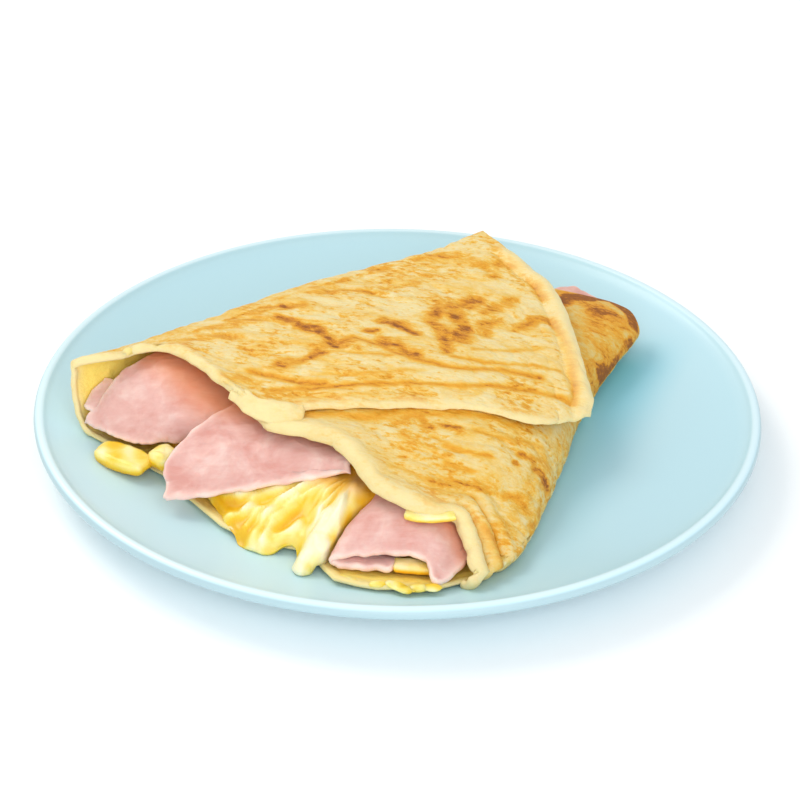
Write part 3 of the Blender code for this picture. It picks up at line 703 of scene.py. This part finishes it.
# Fried batter: egg and flour set in butter. Pale, slightly translucent where it stood off the pan,
# golden lace and brown spots where it touched, in a wrinkled satin skin.
def crepe_material(name, stops, browned):
    """The crepe's skin; browned is how much of the pan's colour it took. The rolled lip is pale."""
    skin, output, place = new_material(name)
    browning, crease, pale = (stored(skin, value) for value in ("browning", "wrinkles_and_shade", "pale"))
    turned = {"Vector": place, "Rotation": (0, 0, math.radians(12))}
    turned = add_node(skin, "ShaderNodeMapping", sockets=turned).outputs["Vector"]
    drawn = add_node(skin, "ShaderNodeVectorMath", {"operation": "MULTIPLY"}, {0: turned, 1: (0.5, 1, 1)})
    drawn = drawn.outputs[0]
    bubbles = clouds(skin, drawn, 5.5, 7.0, 0.8, 0.6)
    specks = clouds(skin, drawn, 1.9, 5.0, 0.65)
    lace = clouds(skin, drawn, 10, 5.0, 0.6, 0.9)
    pores = clouds(skin, drawn, 1.3, 5.0, 0.65)

    # Blotches break into ragged islands, wrinkles fade in and out, specks gather in some places
    blotched = maths(skin, "MULTIPLY_ADD", browning, 0.42 * browned, bubbles)
    islands = ranged(skin, blotched, 0.56, 0.98, high=0.78, smooth=True)
    scorched = ranged(skin, blotched, 0.94, 1.3, high=0.45 * browned, smooth=True)
    most = maths(skin, "ADD", islands, scorched)
    fading = ranged(skin, bubbles, 0.3, 0.65, 0.45 * browned, 0.85 * browned)
    most = maths(skin, "MAXIMUM", most, maths(skin, "MULTIPLY", crease, fading))
    gathered = maths(skin, "MULTIPLY_ADD", clouds(skin, place, 24, 3.0), 0.75, specks)
    most = maths(skin, "MAXIMUM", most, ranged(skin, gathered, 0.86, 1.1, high=0.55 * browned, smooth=True))
    most = maths(skin, "MULTIPLY_ADD", ranged(skin, lace, 0.34, 0.68, high=0.5 * browned), 0.6, most)
    fade = maths(skin, "MULTIPLY_ADD", pale, -0.85, 1.0, clamp=True)
    level = maths(skin, "MULTIPLY", most, fade, clamp=True)

    # Fine pores on top, a painted shade of duller, darker tan on the lap's less browned parts toward the
    # tail, and a pale lip
    fine = ranged(skin, pores, 0.3, 0.7, -0.13, 0.13)
    baked = ramp(skin, maths(skin, "ADD", level, fine, clamp=True), stops)
    light = ranged(skin, level, 0.1, 0.75, 0.4, 0.0)
    baked = blend(skin, maths(skin, "MULTIPLY", stored(skin, "painted_lap_shade"), light), baked, "B99C50")
    give_surface(skin, output, {
        "Base Color": blend(skin, pale, baked, "EDDA9F"),
        "Roughness": ranged(skin, level, 0.0, 1.0, 0.42, 0.6),
        "Normal": bump(skin, maths(skin, "MULTIPLY_ADD", level, -0.4, pores), 0.6, 0.7),
        "Subsurface Weight": 0.15, "Subsurface Radius": (1.0, 0.55, 0.25), "Subsurface Scale": 2 * MM,
        "Specular IOR Level": 0.28})
    return skin


PAN_STOPS = [
    (0.0, "E7D49C"), (0.14, "E8CB84"), (0.3, "E7BC58"), (0.5, "E3A631"), (0.72, "DA941F"), (0.88, "BC7418"),
    (1.0, "8E5216"),
]
# The inner face is yellower and less browned, and is brightened and warmed, as painted light, in the roll's
# shade
INNER_STOPS = [(0.0, "F6DA6C"), (0.4, "F3CE54"), (0.7, "EBBC46"), (1.0, "DA9A36")]
EDGE_STOPS = [(0.0, "F6DFA4"), (0.4, "F1D083"), (0.75, "EABC60"), (1.0, "DA9C3C")]
crepe.data.materials.append(crepe_material("fried_batter", PAN_STOPS, 1.0))
crepe.data.materials.append(crepe_material("fried_batter_inside", INNER_STOPS, 0.6))
crepe.data.materials.append(crepe_material("fried_batter_edge", EDGE_STOPS, 0.3))
thicken(crepe, LIP_THICKNESS, thick_share, material_offset=1, material_offset_rim=2)
finish_piece(crepe, "crepe", "crepe")


def caged(name, cage, levels):
    """A grid laid through the cage's points, row by row, and made smooth."""
    cage = np.array(cage, float)
    rows, columns = cage.shape[:2]
    bpy.ops.mesh.primitive_grid_add(x_subdivisions=columns - 1, y_subdivisions=rows - 1, size=0.1)
    piece = bpy.context.object
    piece.name = piece.data.name = name
    lay_out(piece, cage)
    apply_modifier(
        piece, "SUBSURF", levels=levels, render_levels=levels, boundary_smooth="PRESERVE_CORNERS"
    )
    return piece


def points_of(piece):
    """The piece's points as (a, s, z) in millimetres, and their unit normals in the same frame."""
    count = len(piece.data.vertices)
    places, normals = np.zeros(count * 3, np.float32), np.zeros(count * 3, np.float32)
    piece.data.vertices.foreach_get("co", places)
    piece.data.vertex_normals.foreach_get("vector", normals)
    places, normals = places.reshape(-1, 3).astype(float) / MM, normals.reshape(-1, 3).astype(float)
    a, s = to_roll(places[:, 0], places[:, 1])
    c, n = math.cos(ROLL_HEADING), math.sin(ROLL_HEADING)
    along_a, along_s = normals[:, 0] * c + normals[:, 1] * n, normals[:, 0] * n - normals[:, 1] * c
    return np.stack([a, s, places[:, 2]], axis=-1), np.stack([along_a, along_s, normals[:, 2]], axis=-1)


def rim_distance(piece, reach):
    """Distance along the mesh, up to reach, of each point from the open edge."""
    mesh = piece.data
    ends = np.zeros(len(mesh.edges) * 2, np.int64)
    mesh.edges.foreach_get("vertices", ends)
    ends = ends.reshape(-1, 2)
    uses = np.zeros(len(mesh.edges), np.int64)
    loops = np.zeros(len(mesh.loops), np.int64)
    mesh.loops.foreach_get("edge_index", loops)
    np.add.at(uses, loops, 1)
    places = np.array([v.co for v in mesh.vertices]) / MM
    length = np.linalg.norm(places[ends[:, 0]] - places[ends[:, 1]], axis=1)
    distance = np.full(len(mesh.vertices), reach * 2.0)
    distance[ends[uses == 1].ravel()] = 0
    for _ in range(int(reach / np.median(length)) + 4):
        np.minimum.at(distance, ends[:, 0], distance[ends[:, 1]] + length)
        np.minimum.at(distance, ends[:, 1], distance[ends[:, 0]] + length)
    return distance


# The flap's near corner: the same batter, a thick pale tab that turned down over the lap as the crepe
# was folded. It starts inside the flap's edge, to which it stays joined.
TAB = [
    [(12, -25, 38), (11, -19, 38.4), (11, -12, 38.4), (13, -6.5, 38.2), (15.2, -2, 37.8), (17, 1, 37.2)],
    [
        (9, -24.6, 38), (7.4, -18.5, 38), (7, -10.5, 37.6), (9.2, -5, 37.2), (11.8, 0.2, 36.8),
        (14.2, 3.2, 36.4),
    ],
    [
        (8.6, -24, 35.4), (6, -17.8, 34.4), (5.2, -9.2, 33.8), (7, -3.4, 33.4), (9.8, 1.4, 33.8),
        (12.4, 4, 34.6),
    ],
]
TAB_THICKNESS = 2.0
tab = caged("turned_down_corner", TAB, 5)
points, normals = points_of(tab)
rim = rim_distance(tab, 5.0)
points += normals * (0.9 * grain(points, 6, 28) + 0.4 * grain(points, 3, 29))[:, None]
torn = np.stack([grain(points, 5, 30), grain(points, 5, 32)], axis=-1)
points[:, :2] += np.exp(-rim / 2)[:, None] * torn * 1.5
lay_out(tab, points)
store(tab, "browning", np.zeros(len(points)))
store(tab, "wrinkles_and_shade", np.zeros(len(points)))
store(tab, "pale", np.clip(0.75 + 0.3 * grain(points, 5, 31), 0, 1))
tab.data.materials.append(crepe.data.materials[0])
thicken(tab, TAB_THICKNESS, rounded(rim, 0.9, 0.05))
finish_piece(tab, "crepe")

# The ham: thin slices of cooked, pressed ham, laid in loosely and folded back on themselves. Each is
# moist and pink, mottled where the muscles meet, with a paler, slightly ragged cut edge.

HAM_THICKNESS = 2.2
HAM_SLICES = {
    "ham_left": [
        [(66, -49, 33), (66, -38, 33), (66, -28, 31.5), (66, -20, 29)],
        [(30, -61, 33.6), (28, -48, 33), (27, -34, 27.4), (26, -16, 25)],
        [(12, -68, 34.2), (14, -57, 35.6), (13, -42, 31.5), (11, -20, 24)],
        [(1, -72, 28.5), (1, -60, 29.5), (2, -46, 27.5), (3, -26, 23)],
        [(-11.5, -75, 16.4), (-12.5, -59, 15.6), (-8.5, -47, 15.8), (0, -38.5, 17.6)],
    ],
    "ham_middle": [
        [(60, -18, 31), (60, -6, 31.2), (60, 5, 31.2), (60, 16, 30.8), (60, 27, 29.8)],
        [(9, -28.8, 29.2), (12, -16, 28), (13, -3, 27.4), (15, 10, 27.6), (16, 25, 28)],
        [(-6, -31, 26.5), (-1, -18, 26.4), (4, -5, 26.2), (8, 8, 26.8), (12, 24.5, 27.4)],
        [(-18.5, -33.5, 19), (-11, -18, 20.8), (-3, -5, 22), (4, 9, 24), (10, 25, 26.4)],
        [(-27.5, -22.5, 13.8), (-20.5, -14.5, 14.8), (-10, -2.5, 16.6), (0, 12, 20.6), (9, 26, 25)],
    ],
    "ham_right": [
        [
            (12, 54, 13), (9, 38, 16), (9, 38.5, 24), (12, 50, 25), (14, 62, 21.4), (14, 70, 16.4),
            (14, 75, 13.6),
        ],
        [
            (3, 56, 13), (-2, 37.5, 14.5), (-2, 38.5, 23), (2, 53, 23.2), (6, 65, 20.4), (4, 72, 15.4),
            (4, 76, 13.6),
        ],
        [
            (-6, 58, 13), (-14, 38, 13.2), (-11, 40, 20.4), (-5, 56, 21), (1, 69, 19.6), (-4, 73, 15.6),
            (-3, 77, 14),
        ],
        [
            (-14, 60, 13.4), (-25, 39, 12.8), (-20, 44, 16), (-11, 58, 17.2), (-5, 69, 17), (-15, 74, 15.6),
            (-11, 77.5, 14.6),
        ],
    ],
    "ham_under": [
        [(4, -77, 26), (4, -70, 27), (4, -62, 28)],
        [(-3, -78.5, 23.4), (-4, -71, 22.6), (-4, -62, 23.4)],
        [(-8, -78, 20), (-9.5, -70, 18.5), (-9.5, -62, 18)],
    ],
    "ham_tail": [
        [(150, 9, 23), (150, 15, 23.8), (150, 21, 23.2), (150, 27, 23)],
        [(160, 10, 22.4), (161, 15, 23.8), (160, 21, 22.6), (159, 28, 22.4)],
        [(168, 12.5, 20.2), (170, 17, 22.2), (168.5, 22, 21), (168, 28, 20.6)],
    ],
}
# Where the roll's warm shade begins on the ham (s, a)
HAM_SHADE = [
    (-78, 4), (-60, 3), (-45, 0), (-30, 0), (-10, 5), (14, 9), (34, 8), (50, 6), (66, 0), (76, -5),
    (86, -18),
]
HAM_LEVELS = {"ham_left": 5, "ham_middle": 5, "ham_right": 5, "ham_under": 4, "ham_tail": 5}
HAM_SOLIDS = {"ham_under": "ham_left"}  # a second layer that belongs to the left slice's solid

# Cooked ham: cured, pressed pork. Rose pink, faintly translucent, streaked and mottled by the muscle,
# with a wet satin face and whitish fat along the cut edge.
flesh, output, place = new_material("cooked_ham")
turned = {"Vector": place, "Rotation": (0, 0, math.radians(-20)), "Scale": (0.25, 1.0, 1.0)}
strands = add_node(flesh, "ShaderNodeMapping", sockets=turned).outputs["Vector"]
muscle, fibre = clouds(flesh, place, 13, 5.0, 0.6, 0.5), clouds(flesh, strands, 2.2, 4.0, 0.6)
level = ranged(flesh, maths(flesh, "MULTIPLY_ADD", fibre, 0.35, muscle), 0.5, 0.88)
pink = ramp(flesh, level, [(0.0, "D3968B"), (0.32, "D9A49A"), (0.62, "DFB0A6"), (1.0, "E6C2B8")])
pink = blend(flesh, stored(flesh, "pale"), pink, "F6D9CC")
# Painted shade: warm orange laid on where the crepe's lip shades the ham
give_surface(flesh, output, {
    "Base Color": blend(flesh, stored(flesh, "painted_warm_shade"), pink, "E08A55"),
    "Normal": bump(flesh, clouds(flesh, strands, 1.2, 4.0), 0.25, 0.3), "Roughness": 0.42,
    "Subsurface Weight": 0.25, "Subsurface Radius": (1.0, 0.35, 0.25), "Subsurface Scale": 2.5 * MM,
    "Specular IOR Level": 0.5})

for name, cage in HAM_SLICES.items():
    slice_of_ham = caged("cooked_" + name, cage, HAM_LEVELS[name])
    points, normals = points_of(slice_of_ham)
    rim = rim_distance(slice_of_ham, 6.0)
    waves = 0.6 * grain(points, 13, 31) + 0.22 * grain(points, 5, 32) + 0.12 * crumple(points, 6, 33)
    points += normals * waves[:, None]
    ragged = np.exp(-((rim / 3.0) ** 2))[:, None]
    torn = np.stack([grain(points, 6, 34) + 0.5 * grain(points, 2.5, 35), grain(points, 6, 36)], axis=-1)
    points[:, :2] += 1.4 * ragged * torn
    lay_out(slice_of_ham, points)
    fatty = np.exp(-((rim / 1.5) ** 2)) * (0.75 + 0.6 * grain(points, 5, 37))
    store(slice_of_ham, "pale", np.clip(fatty, 0, 1))
    # Painted warm shade under the lip, faint on the slice at the tail
    painted_shade_most = 0.12 if name == "ham_tail" else 0.7
    store(slice_of_ham, "painted_warm_shade", painted_shade_most * ease((points[:, 0] - curve(HAM_SHADE, points[:, 1])) / 13))
    slice_of_ham.data.materials.append(flesh)
    thicken(slice_of_ham, HAM_THICKNESS, rounded(rim, 0.9, 0.06))
    finish_piece(slice_of_ham, "ham", HAM_SOLIDS.get(name, name))

# The cheese: a mild yellow cheese, melted through the roll and pulled into soft strands that run out
# at the mouth, with a few lumps, a slice and a strip that kept their shape.

CHEESE_TOP = [
    [
        (168, -13, 17), (169, -7, 22), (170, -2, 24.5), (169, 4, 24.2),
        (168, 8.5, 19), (168, 17, 18), (168, 27, 18), (167, 40, 15.5),
    ],
    [
        (146, -20, 24), (146, -12, 26), (146, -5, 24.5), (146, 3, 23),
        (146, 11, 20.4), (146, 20, 20), (146, 30, 20), (146, 44, 16),
    ],
    [
        (110, -34, 29), (110, -24, 31), (110, -12, 28.4), (110, 1, 28.6),
        (110, 14, 28.6), (110, 28, 27.5), (110, 41, 24), (110, 53, 17),
    ],
    [
        (60, -46, 27), (60, -36, 28.5), (60, -22, 25), (60, -5, 25.6),
        (60, 12, 26), (60, 30, 26.5), (62, 48, 25), (64, 63, 17),
    ],
    [
        (23, -56, 26), (23, -44, 26), (22, -30, 22), (22, -10, 22.5),
        (22, 8, 24), (24, 24, 24), (36, 46, 24), (42, 66, 15),
    ],
    [
        (4, -60, 20), (5, -45, 17.5), (4, -30, 17.5), (2, -14, 20),
        (3, -1, 20.5), (4, 11, 20), (7, 22, 22.4), (7, 33.5, 23.5),
    ],
    [
        (-1, -36, 13.5), (-3, -32, 14), (-8, -26, 14), (-9, -14, 14.2),
        (-10, 2, 13.4), (-10, 11, 14.6), (-6, 26, 17), (-10, 37, 18.5),
    ],
    [
        (-13, -32, 12), (-17, -29, 12.2), (-22, -22, 12.2), (-27, -8, 12.2),
        (-31.5, 9, 12.4), (-24, 20, 12), (-19, 28, 12), (-30, 41, 14.2),
    ],
]
CHEESE_CLEAR, CHEESE_EDGE = 0.8, 0.8
MELT_ROOT = -6.0  # the melt's front is drawn out from here
MELT_FAN = (18.0, 24.0)  # where its threads come from (a, s)
# Where the melt ends in front (s, a): tongues that run over the crepe's edge, and gaps between them
MELT_FRONT = [
    (-36, -9), (-25, -11), (-15, -14.5), (-6, -19), (2, -24.5), (8, -28), (14, -28), (19, -24.5),
    (23.5, -18), (27.5, -18.5), (31, -24), (36, -28), (41, -27), (45, -22),
]
# Strands in the roll's plan, from inside the mouth out to the front: line, half width, height
STRANDS = [
    ([(10, 28), (4, 29.5), (-8, 32), (-18, 34.5), (-28, 37)], 5.2, 2.9),
    ([(7, 23), (-0.5, 20), (-9.5, 19.7), (-18, 22)], 2.6, 1.8),
    ([(7, 19), (-1, 13), (-9, 9), (-20, 11), (-27, 12)], 2.6, 2.0),
    ([(4, 16), (-3, 8), (-11, 2), (-21, 2)], 2.0, 1.5),
    ([(0, 12), (-7, 2), (-14, -5), (-20, -9)], 1.9, 1.4),
    ([(-4, 14), (-15, 13.4), (-24, 16)], 2.0, 1.4),
    ([(4, 22), (-4, 16), (-14, 6), (-25, 6)], 1.4, 1.4),
    ([(2, 8), (-6, -4), (-12, -12), (-18, -16)], 1.6, 1.1),
    ([(6, 25), (-4, 25), (-12, 27), (-16, 27.5)], 1.7, 1.2),
]

# Melted cheese: a half firm yellow cheese gone soft. Buttery yellow, with paler cream on the raised
# strands and on top of the lumps, which is partly a painted highlight, and a painted warm orange shade
# under the crepe's lip; an oily gloss, and light that goes in a little way.
soft_cheese, output, place = new_material("melted_cheese")
swirl = maths(soft_cheese, "MULTIPLY_ADD", clouds(soft_cheese, place, 6, 4.0, 0.55, 0.6), 0.6, -0.3)
level = maths(soft_cheese, "ADD", stored(soft_cheese, "cream_and_highlight"), swirl, clamp=True)
butter = ramp(soft_cheese, level, [(0.0, "ECB210"), (0.28, "F3C92E"), (0.58, "F7E07C"), (1.0, "F9F0C8")])
give_surface(soft_cheese, output, {
    "Base Color": blend(soft_cheese, stored(soft_cheese, "painted_warm_shade"), butter, "F2B02E"),
    "Normal": bump(soft_cheese, clouds(soft_cheese, place, 3, 3.0), 0.2, 0.5), "Roughness": 0.34,
    "Subsurface Weight": 0.3, "Subsurface Radius": (1.0, 0.7, 0.25), "Subsurface Scale": 3 * MM,
    "Specular IOR Level": 0.5})

melt = caged("melted_cheese", CHEESE_TOP, 4)
points, normals = points_of(melt)
rim = rim_distance(melt, 6.0)
front = ease((14 - points[:, 0]) / 12)
warp = points[:, :2] + 1.4 * np.stack([grain(points, 8, 41), grain(points, 8, 42)], axis=-1)
raised = np.zeros(len(points))
for line, half, height in STRANDS:
    reach = distance_to(line, warp[:, 0], warp[:, 1]) / half
    raised = np.maximum(raised, height * (0.85 + 0.5 * grain(points, 7, 43)) * np.exp(-1.5 * reach**2))
# Threads that fan out from under the lip
out, side = MELT_FAN[0] - warp[:, 0], warp[:, 1] - MELT_FAN[1]
angle = 9 * np.arctan2(side, np.maximum(out, 1))
fan = np.stack([angle, np.hypot(out, side) / 13, np.zeros(len(points))], axis=-1)
raised += 3.2 * (0.3 - np.abs(grain(fan, 1.7, 44))) + 0.8 * grain(fan, 0.7, 45) + 0.3 * grain(points, 5, 46)
points[:, 2] += raised * front
at_tail = ease((points[:, 0] - 148) / 14)
lumpy = 1.6 * grain(points, 7, 47) + 0.8 * grain(points, 3, 48)
points[:, 2] += at_tail * (lumpy - 1.5 * np.exp(-((rim / 2) ** 2)))
points[:, 0] += at_tail * (1.6 * grain(points, 6, 49) - 1.0)
in_front = points[:, 0] < MELT_ROOT
edge_now = curve([(p[1], p[0]) for p in CHEESE_TOP[-1]], points[:, 1])
reach = np.clip((curve(MELT_FRONT, points[:, 1]) - MELT_ROOT) / (edge_now - MELT_ROOT), 0.4, 1.3)
points[:, 0] = np.where(in_front, MELT_ROOT + (points[:, 0] - MELT_ROOT) * reach, points[:, 0])
points[:, 0] += 0.9 * grain(points, 4, 46) * ease((-12 - points[:, 0]) / 8)
points[:, 1] -= 0.55 * np.maximum(points[:, 1] - 34.5, 0) * ease((-19 - points[:, 0]) / 8)
off_sheet = ease((curve(BASE_MOUTH, points[:, 1] / 86) + 1.5 - points[:, 0]) / 5)
points[:, 2] -= front * (1.1 * np.exp(-((rim / 1.4) ** 2)) + 2.0 * off_sheet)
lay_out(melt, points)
# Paler cream on the raised strands: the cheese's own tone, and a painted highlight
store(melt, "cream_and_highlight", np.clip(0.16 + raised / 2.8, 0, 1))
# Painted warm shade under the crepe's lip, fading toward the tail
store(melt, "painted_warm_shade", 0.75 * ease((points[:, 0] + 2) / 9) * ease((150 - points[:, 0]) / 20))
melt.data.materials.append(soft_cheese)

# Its side comes down to the sheet in three steps, rounded in between
bpy.ops.object.mode_set(mode="EDIT")
bpy.ops.mesh.select_all(action="SELECT")
bpy.ops.object.mode_set(mode="OBJECT")
for step, bulge in [(0.35, 0.9), (0.45, 0.3), (1.0, -0.6)]:
    bpy.ops.object.mode_set(mode="EDIT")
    bpy.ops.mesh.extrude_region_move()
    bpy.ops.object.mode_set(mode="OBJECT")
    lower = np.zeros(len(melt.data.vertices), bool)
    melt.data.vertices.foreach_get("select", lower)
    points, _ = points_of(melt)
    on_sheet = base_height(points[:, 0], points[:, 1]) + CREPE_THICKNESS / 2 + CHEESE_CLEAR
    on_plate = plate_face(np.hypot(*to_plate(points[:, 0], points[:, 1]))) + GAP
    off_sheet = ease((curve(BASE_MOUTH, points[:, 1] / 86) - 1.0 - points[:, 0]) / 2)
    rest = on_sheet + (on_plate - on_sheet) * off_sheet
    below = np.minimum(rest, points[:, 2] - CHEESE_EDGE * step)
    points[:, 2] = np.where(lower, points[:, 2] + (below - points[:, 2]) * step, points[:, 2])
    away = np.where(points[:, 0] > 140, bulge, 0) - np.where(points[:, 0] < -8, 0.6 * bulge, 0)
    points[:, 0] += np.where(lower, away, 0)
    lay_out(melt, points)
face_outward()
finish_piece(melt, "cheese", "cheese_melt")

# Lumps that kept their shape: centre (a, s, z), turn in degrees, sizes along a, along s and in height,
# and how strongly the ends bend in
CHEESE_PIECES = {
    "cheese_chunk_outer": ((-16.0, -52.6, 12.6), 2, (12.0, 22.0, 5.2, 0.0)),
    "cheese_chunk_inner": ((-9.4, -39.6, 14.4), -6, (10.0, 11.0, 6.4, 0.0)),
    "cheese_slice": ((-7.6, 65.2, 13.8), 30, (6.5, 16.0, 3.0, 0.0)),
    "cheese_strip": ((4.6, 60.0, 24.4), 30, (6.5, 17.0, 2.4, 0.045)),
}
for name, (centre, turn_by, size) in CHEESE_PIECES.items():
    x, y = to_plate(centre[0], centre[1])
    bpy.ops.mesh.primitive_cube_add(size=MM, location=(x * MM, y * MM, centre[2] * MM))
    lump = bpy.context.object
    lump.name = lump.data.name = "soft_" + name
    lump.scale = size[:3]
    lump.rotation_euler = (0, 0, ROLL_HEADING + math.radians(turn_by))
    bpy.ops.object.transform_apply(location=True, rotation=True, scale=True)
    apply_modifier(lump, "BEVEL", width=0.44 * min(size[:3]) * MM, segments=3)
    bpy.ops.object.mode_set(mode="EDIT")
    bpy.ops.mesh.select_all(action="SELECT")
    bpy.ops.mesh.subdivide(number_cuts=3)
    bpy.ops.object.mode_set(mode="OBJECT")
    apply_modifier(lump, "SUBSURF", levels=2, render_levels=2)
    points, normals = points_of(lump)
    waves = 0.45 * grain(points, 9, 51) + 0.25 * grain(points, 3, 52) + 0.12 * crumple(points, 4, 53)
    points += normals * (waves * min(1, min(size[:3]) / 4))[:, None]
    ends = 1 - 0.4 * np.clip(2 * np.abs(points[:, 1] - centre[1]) / size[1], 0, 1) ** 3
    points[:, 0] = centre[0] + (points[:, 0] - centre[0]) * ends + size[3] * (points[:, 1] - centre[1]) ** 2
    points[:, 2] = centre[2] + (points[:, 2] - centre[2]) * (0.3 + 0.7 * ends)
    lay_out(lump, points)
    # Painted highlight: the lumps are paler on top
    top = ease((points[:, 2] - centre[2] + 0.2 * size[2]) / (0.6 * size[2]))
    # Painted warm shade on the slice, which lies in the slit
    store(lump, "painted_warm_shade", np.full(len(points), 0.25 if name == "cheese_slice" else 0.0))
    ground = 0.35 if name == "cheese_strip" else 0.05
    store(lump, "cream_and_highlight", np.clip(ground + 0.75 * top * (0.75 + grain(points, 6, 54)), 0, 1))
    lump.data.materials.append(soft_cheese)
    bpy.ops.object.shade_smooth()
    finish_piece(lump, "cheese", name)

# Crumbs of the same cheese, which fell along the crepe's front edge and melted down a little where they
# lay. Each is given as (a, s, size)
CRUMBS = [
    (-24.6, 50.0, 3.4), (-21.4, 60.5, 3.0), (-19.6, 66.8, 4.4), (-16.6, 71.4, 3.6), (-14.2, 75.6, 3.2),
    (-18.6, 69.8, 2.6),
]


def crumb(name, a, s, size, seed):
    """One small melted crumb, resting on the sheet or the plate."""
    beyond = a < float(curve(BASE_MOUTH, s / 90)) - 0.5
    x, y = to_plate(a, s)
    rest = plate_face(np.hypot(x, y)) + GAP if beyond else base_height(a, s) + CREPE_THICKNESS / 2
    place = (x * MM, y * MM, (float(rest) + 0.12 * size) * MM)
    bpy.ops.mesh.primitive_ico_sphere_add(subdivisions=3, radius=size / 2 * MM, location=place)
    piece = bpy.context.object
    piece.name = piece.data.name = name
    piece.scale = (2.1, 1.0, 0.42)
    piece.rotation_euler = (0, 0, ROLL_HEADING - math.pi / 2 + math.radians(25) + 0.4 * math.sin(seed * 2.3))
    bpy.ops.object.transform_apply(location=True, rotation=True, scale=True)
    points, normals = points_of(piece)
    points += normals * (0.28 * size * grain(points, 1.4 * size, seed))[:, None]
    lay_out(piece, points)
    store(piece, "painted_warm_shade", np.zeros(len(points)))
    store(piece, "cream_and_highlight", np.clip(0.5 + 0.5 * grain(points, 3, seed + 1), 0, 1))
    return piece


pieces = [crumb("cheese_crumbs", *row, seed=60 + index) for index, row in enumerate(CRUMBS)]
bpy.ops.object.select_all(action="DESELECT")
for piece in pieces:
    piece.select_set(True)
bpy.context.view_layer.objects.active = pieces[0]
bpy.ops.object.join()
crumbs = bpy.context.object
crumbs.data.materials.append(soft_cheese)
bpy.ops.object.shade_smooth()
finish_piece(crumbs, "cheese")

# The table and the light: a sheet of plain white paper under a wide soft key from the back left, with
# a broad fill from the front and a pale room all round.
bpy.ops.mesh.primitive_plane_add(size=6.0)
floor = bpy.context.object
floor.name = "floor"
paper, output, place = new_material("white_paper")
give_surface(paper, output, {"Base Color": linear("FBFCFC"), "Roughness": 0.9, "Specular IOR Level": 0.1})
floor.data.materials.append(paper)

world = bpy.data.worlds.new("studio")
bpy.context.scene.world = world
world.use_nodes = True
background = world.node_tree.nodes["Background"]
background.inputs["Color"].default_value = linear("F3F7F9")
background.inputs["Strength"].default_value = 0.82


def soft_box(name, place, aim, width, power, code):
    """A square studio light that faces the dish."""
    light = bpy.data.lights.new(name, "AREA")
    light.shape, light.size, light.energy = "SQUARE", width, power
    light.color = linear(code)[:3]
    lamp = bpy.data.objects.new(name, light)
    bpy.context.scene.collection.objects.link(lamp)
    lamp.location = place
    lamp.rotation_euler = (Vector(aim) - Vector(place)).to_track_quat("-Z", "Y").to_euler()


soft_box("key", (-0.75, 0.55, 1.05), (0, 0, 0.02), 0.7, 7.5, "FFF6EA")
soft_box("front_fill", (0.2, -1.25, 0.6), (0, 0, 0.02), 1.2, 11, "FBFBFF")
bpy.context.scene.view_settings.view_transform = "Standard"

LENS, SENSOR = 85.0, 36.0
CAMERA_PLACE = Vector((0.72, -582.81, 373.13)) * MM
CAMERA_AIM = Vector((0.72, -3.29, 15.0)) * MM
CAMERA_ROLL = math.radians(1.038)
camera_data = bpy.data.cameras.new("camera")
camera_data.lens, camera_data.sensor_width = LENS, SENSOR
camera = bpy.data.objects.new("camera", camera_data)
bpy.context.scene.collection.objects.link(camera)
view = (CAMERA_AIM - CAMERA_PLACE).to_track_quat("-Z", "Y").to_matrix().to_4x4()
camera.matrix_world = Matrix.Translation(CAMERA_PLACE) @ view @ Matrix.Rotation(CAMERA_ROLL, 4, "Z")
bpy.context.scene.camera = camera
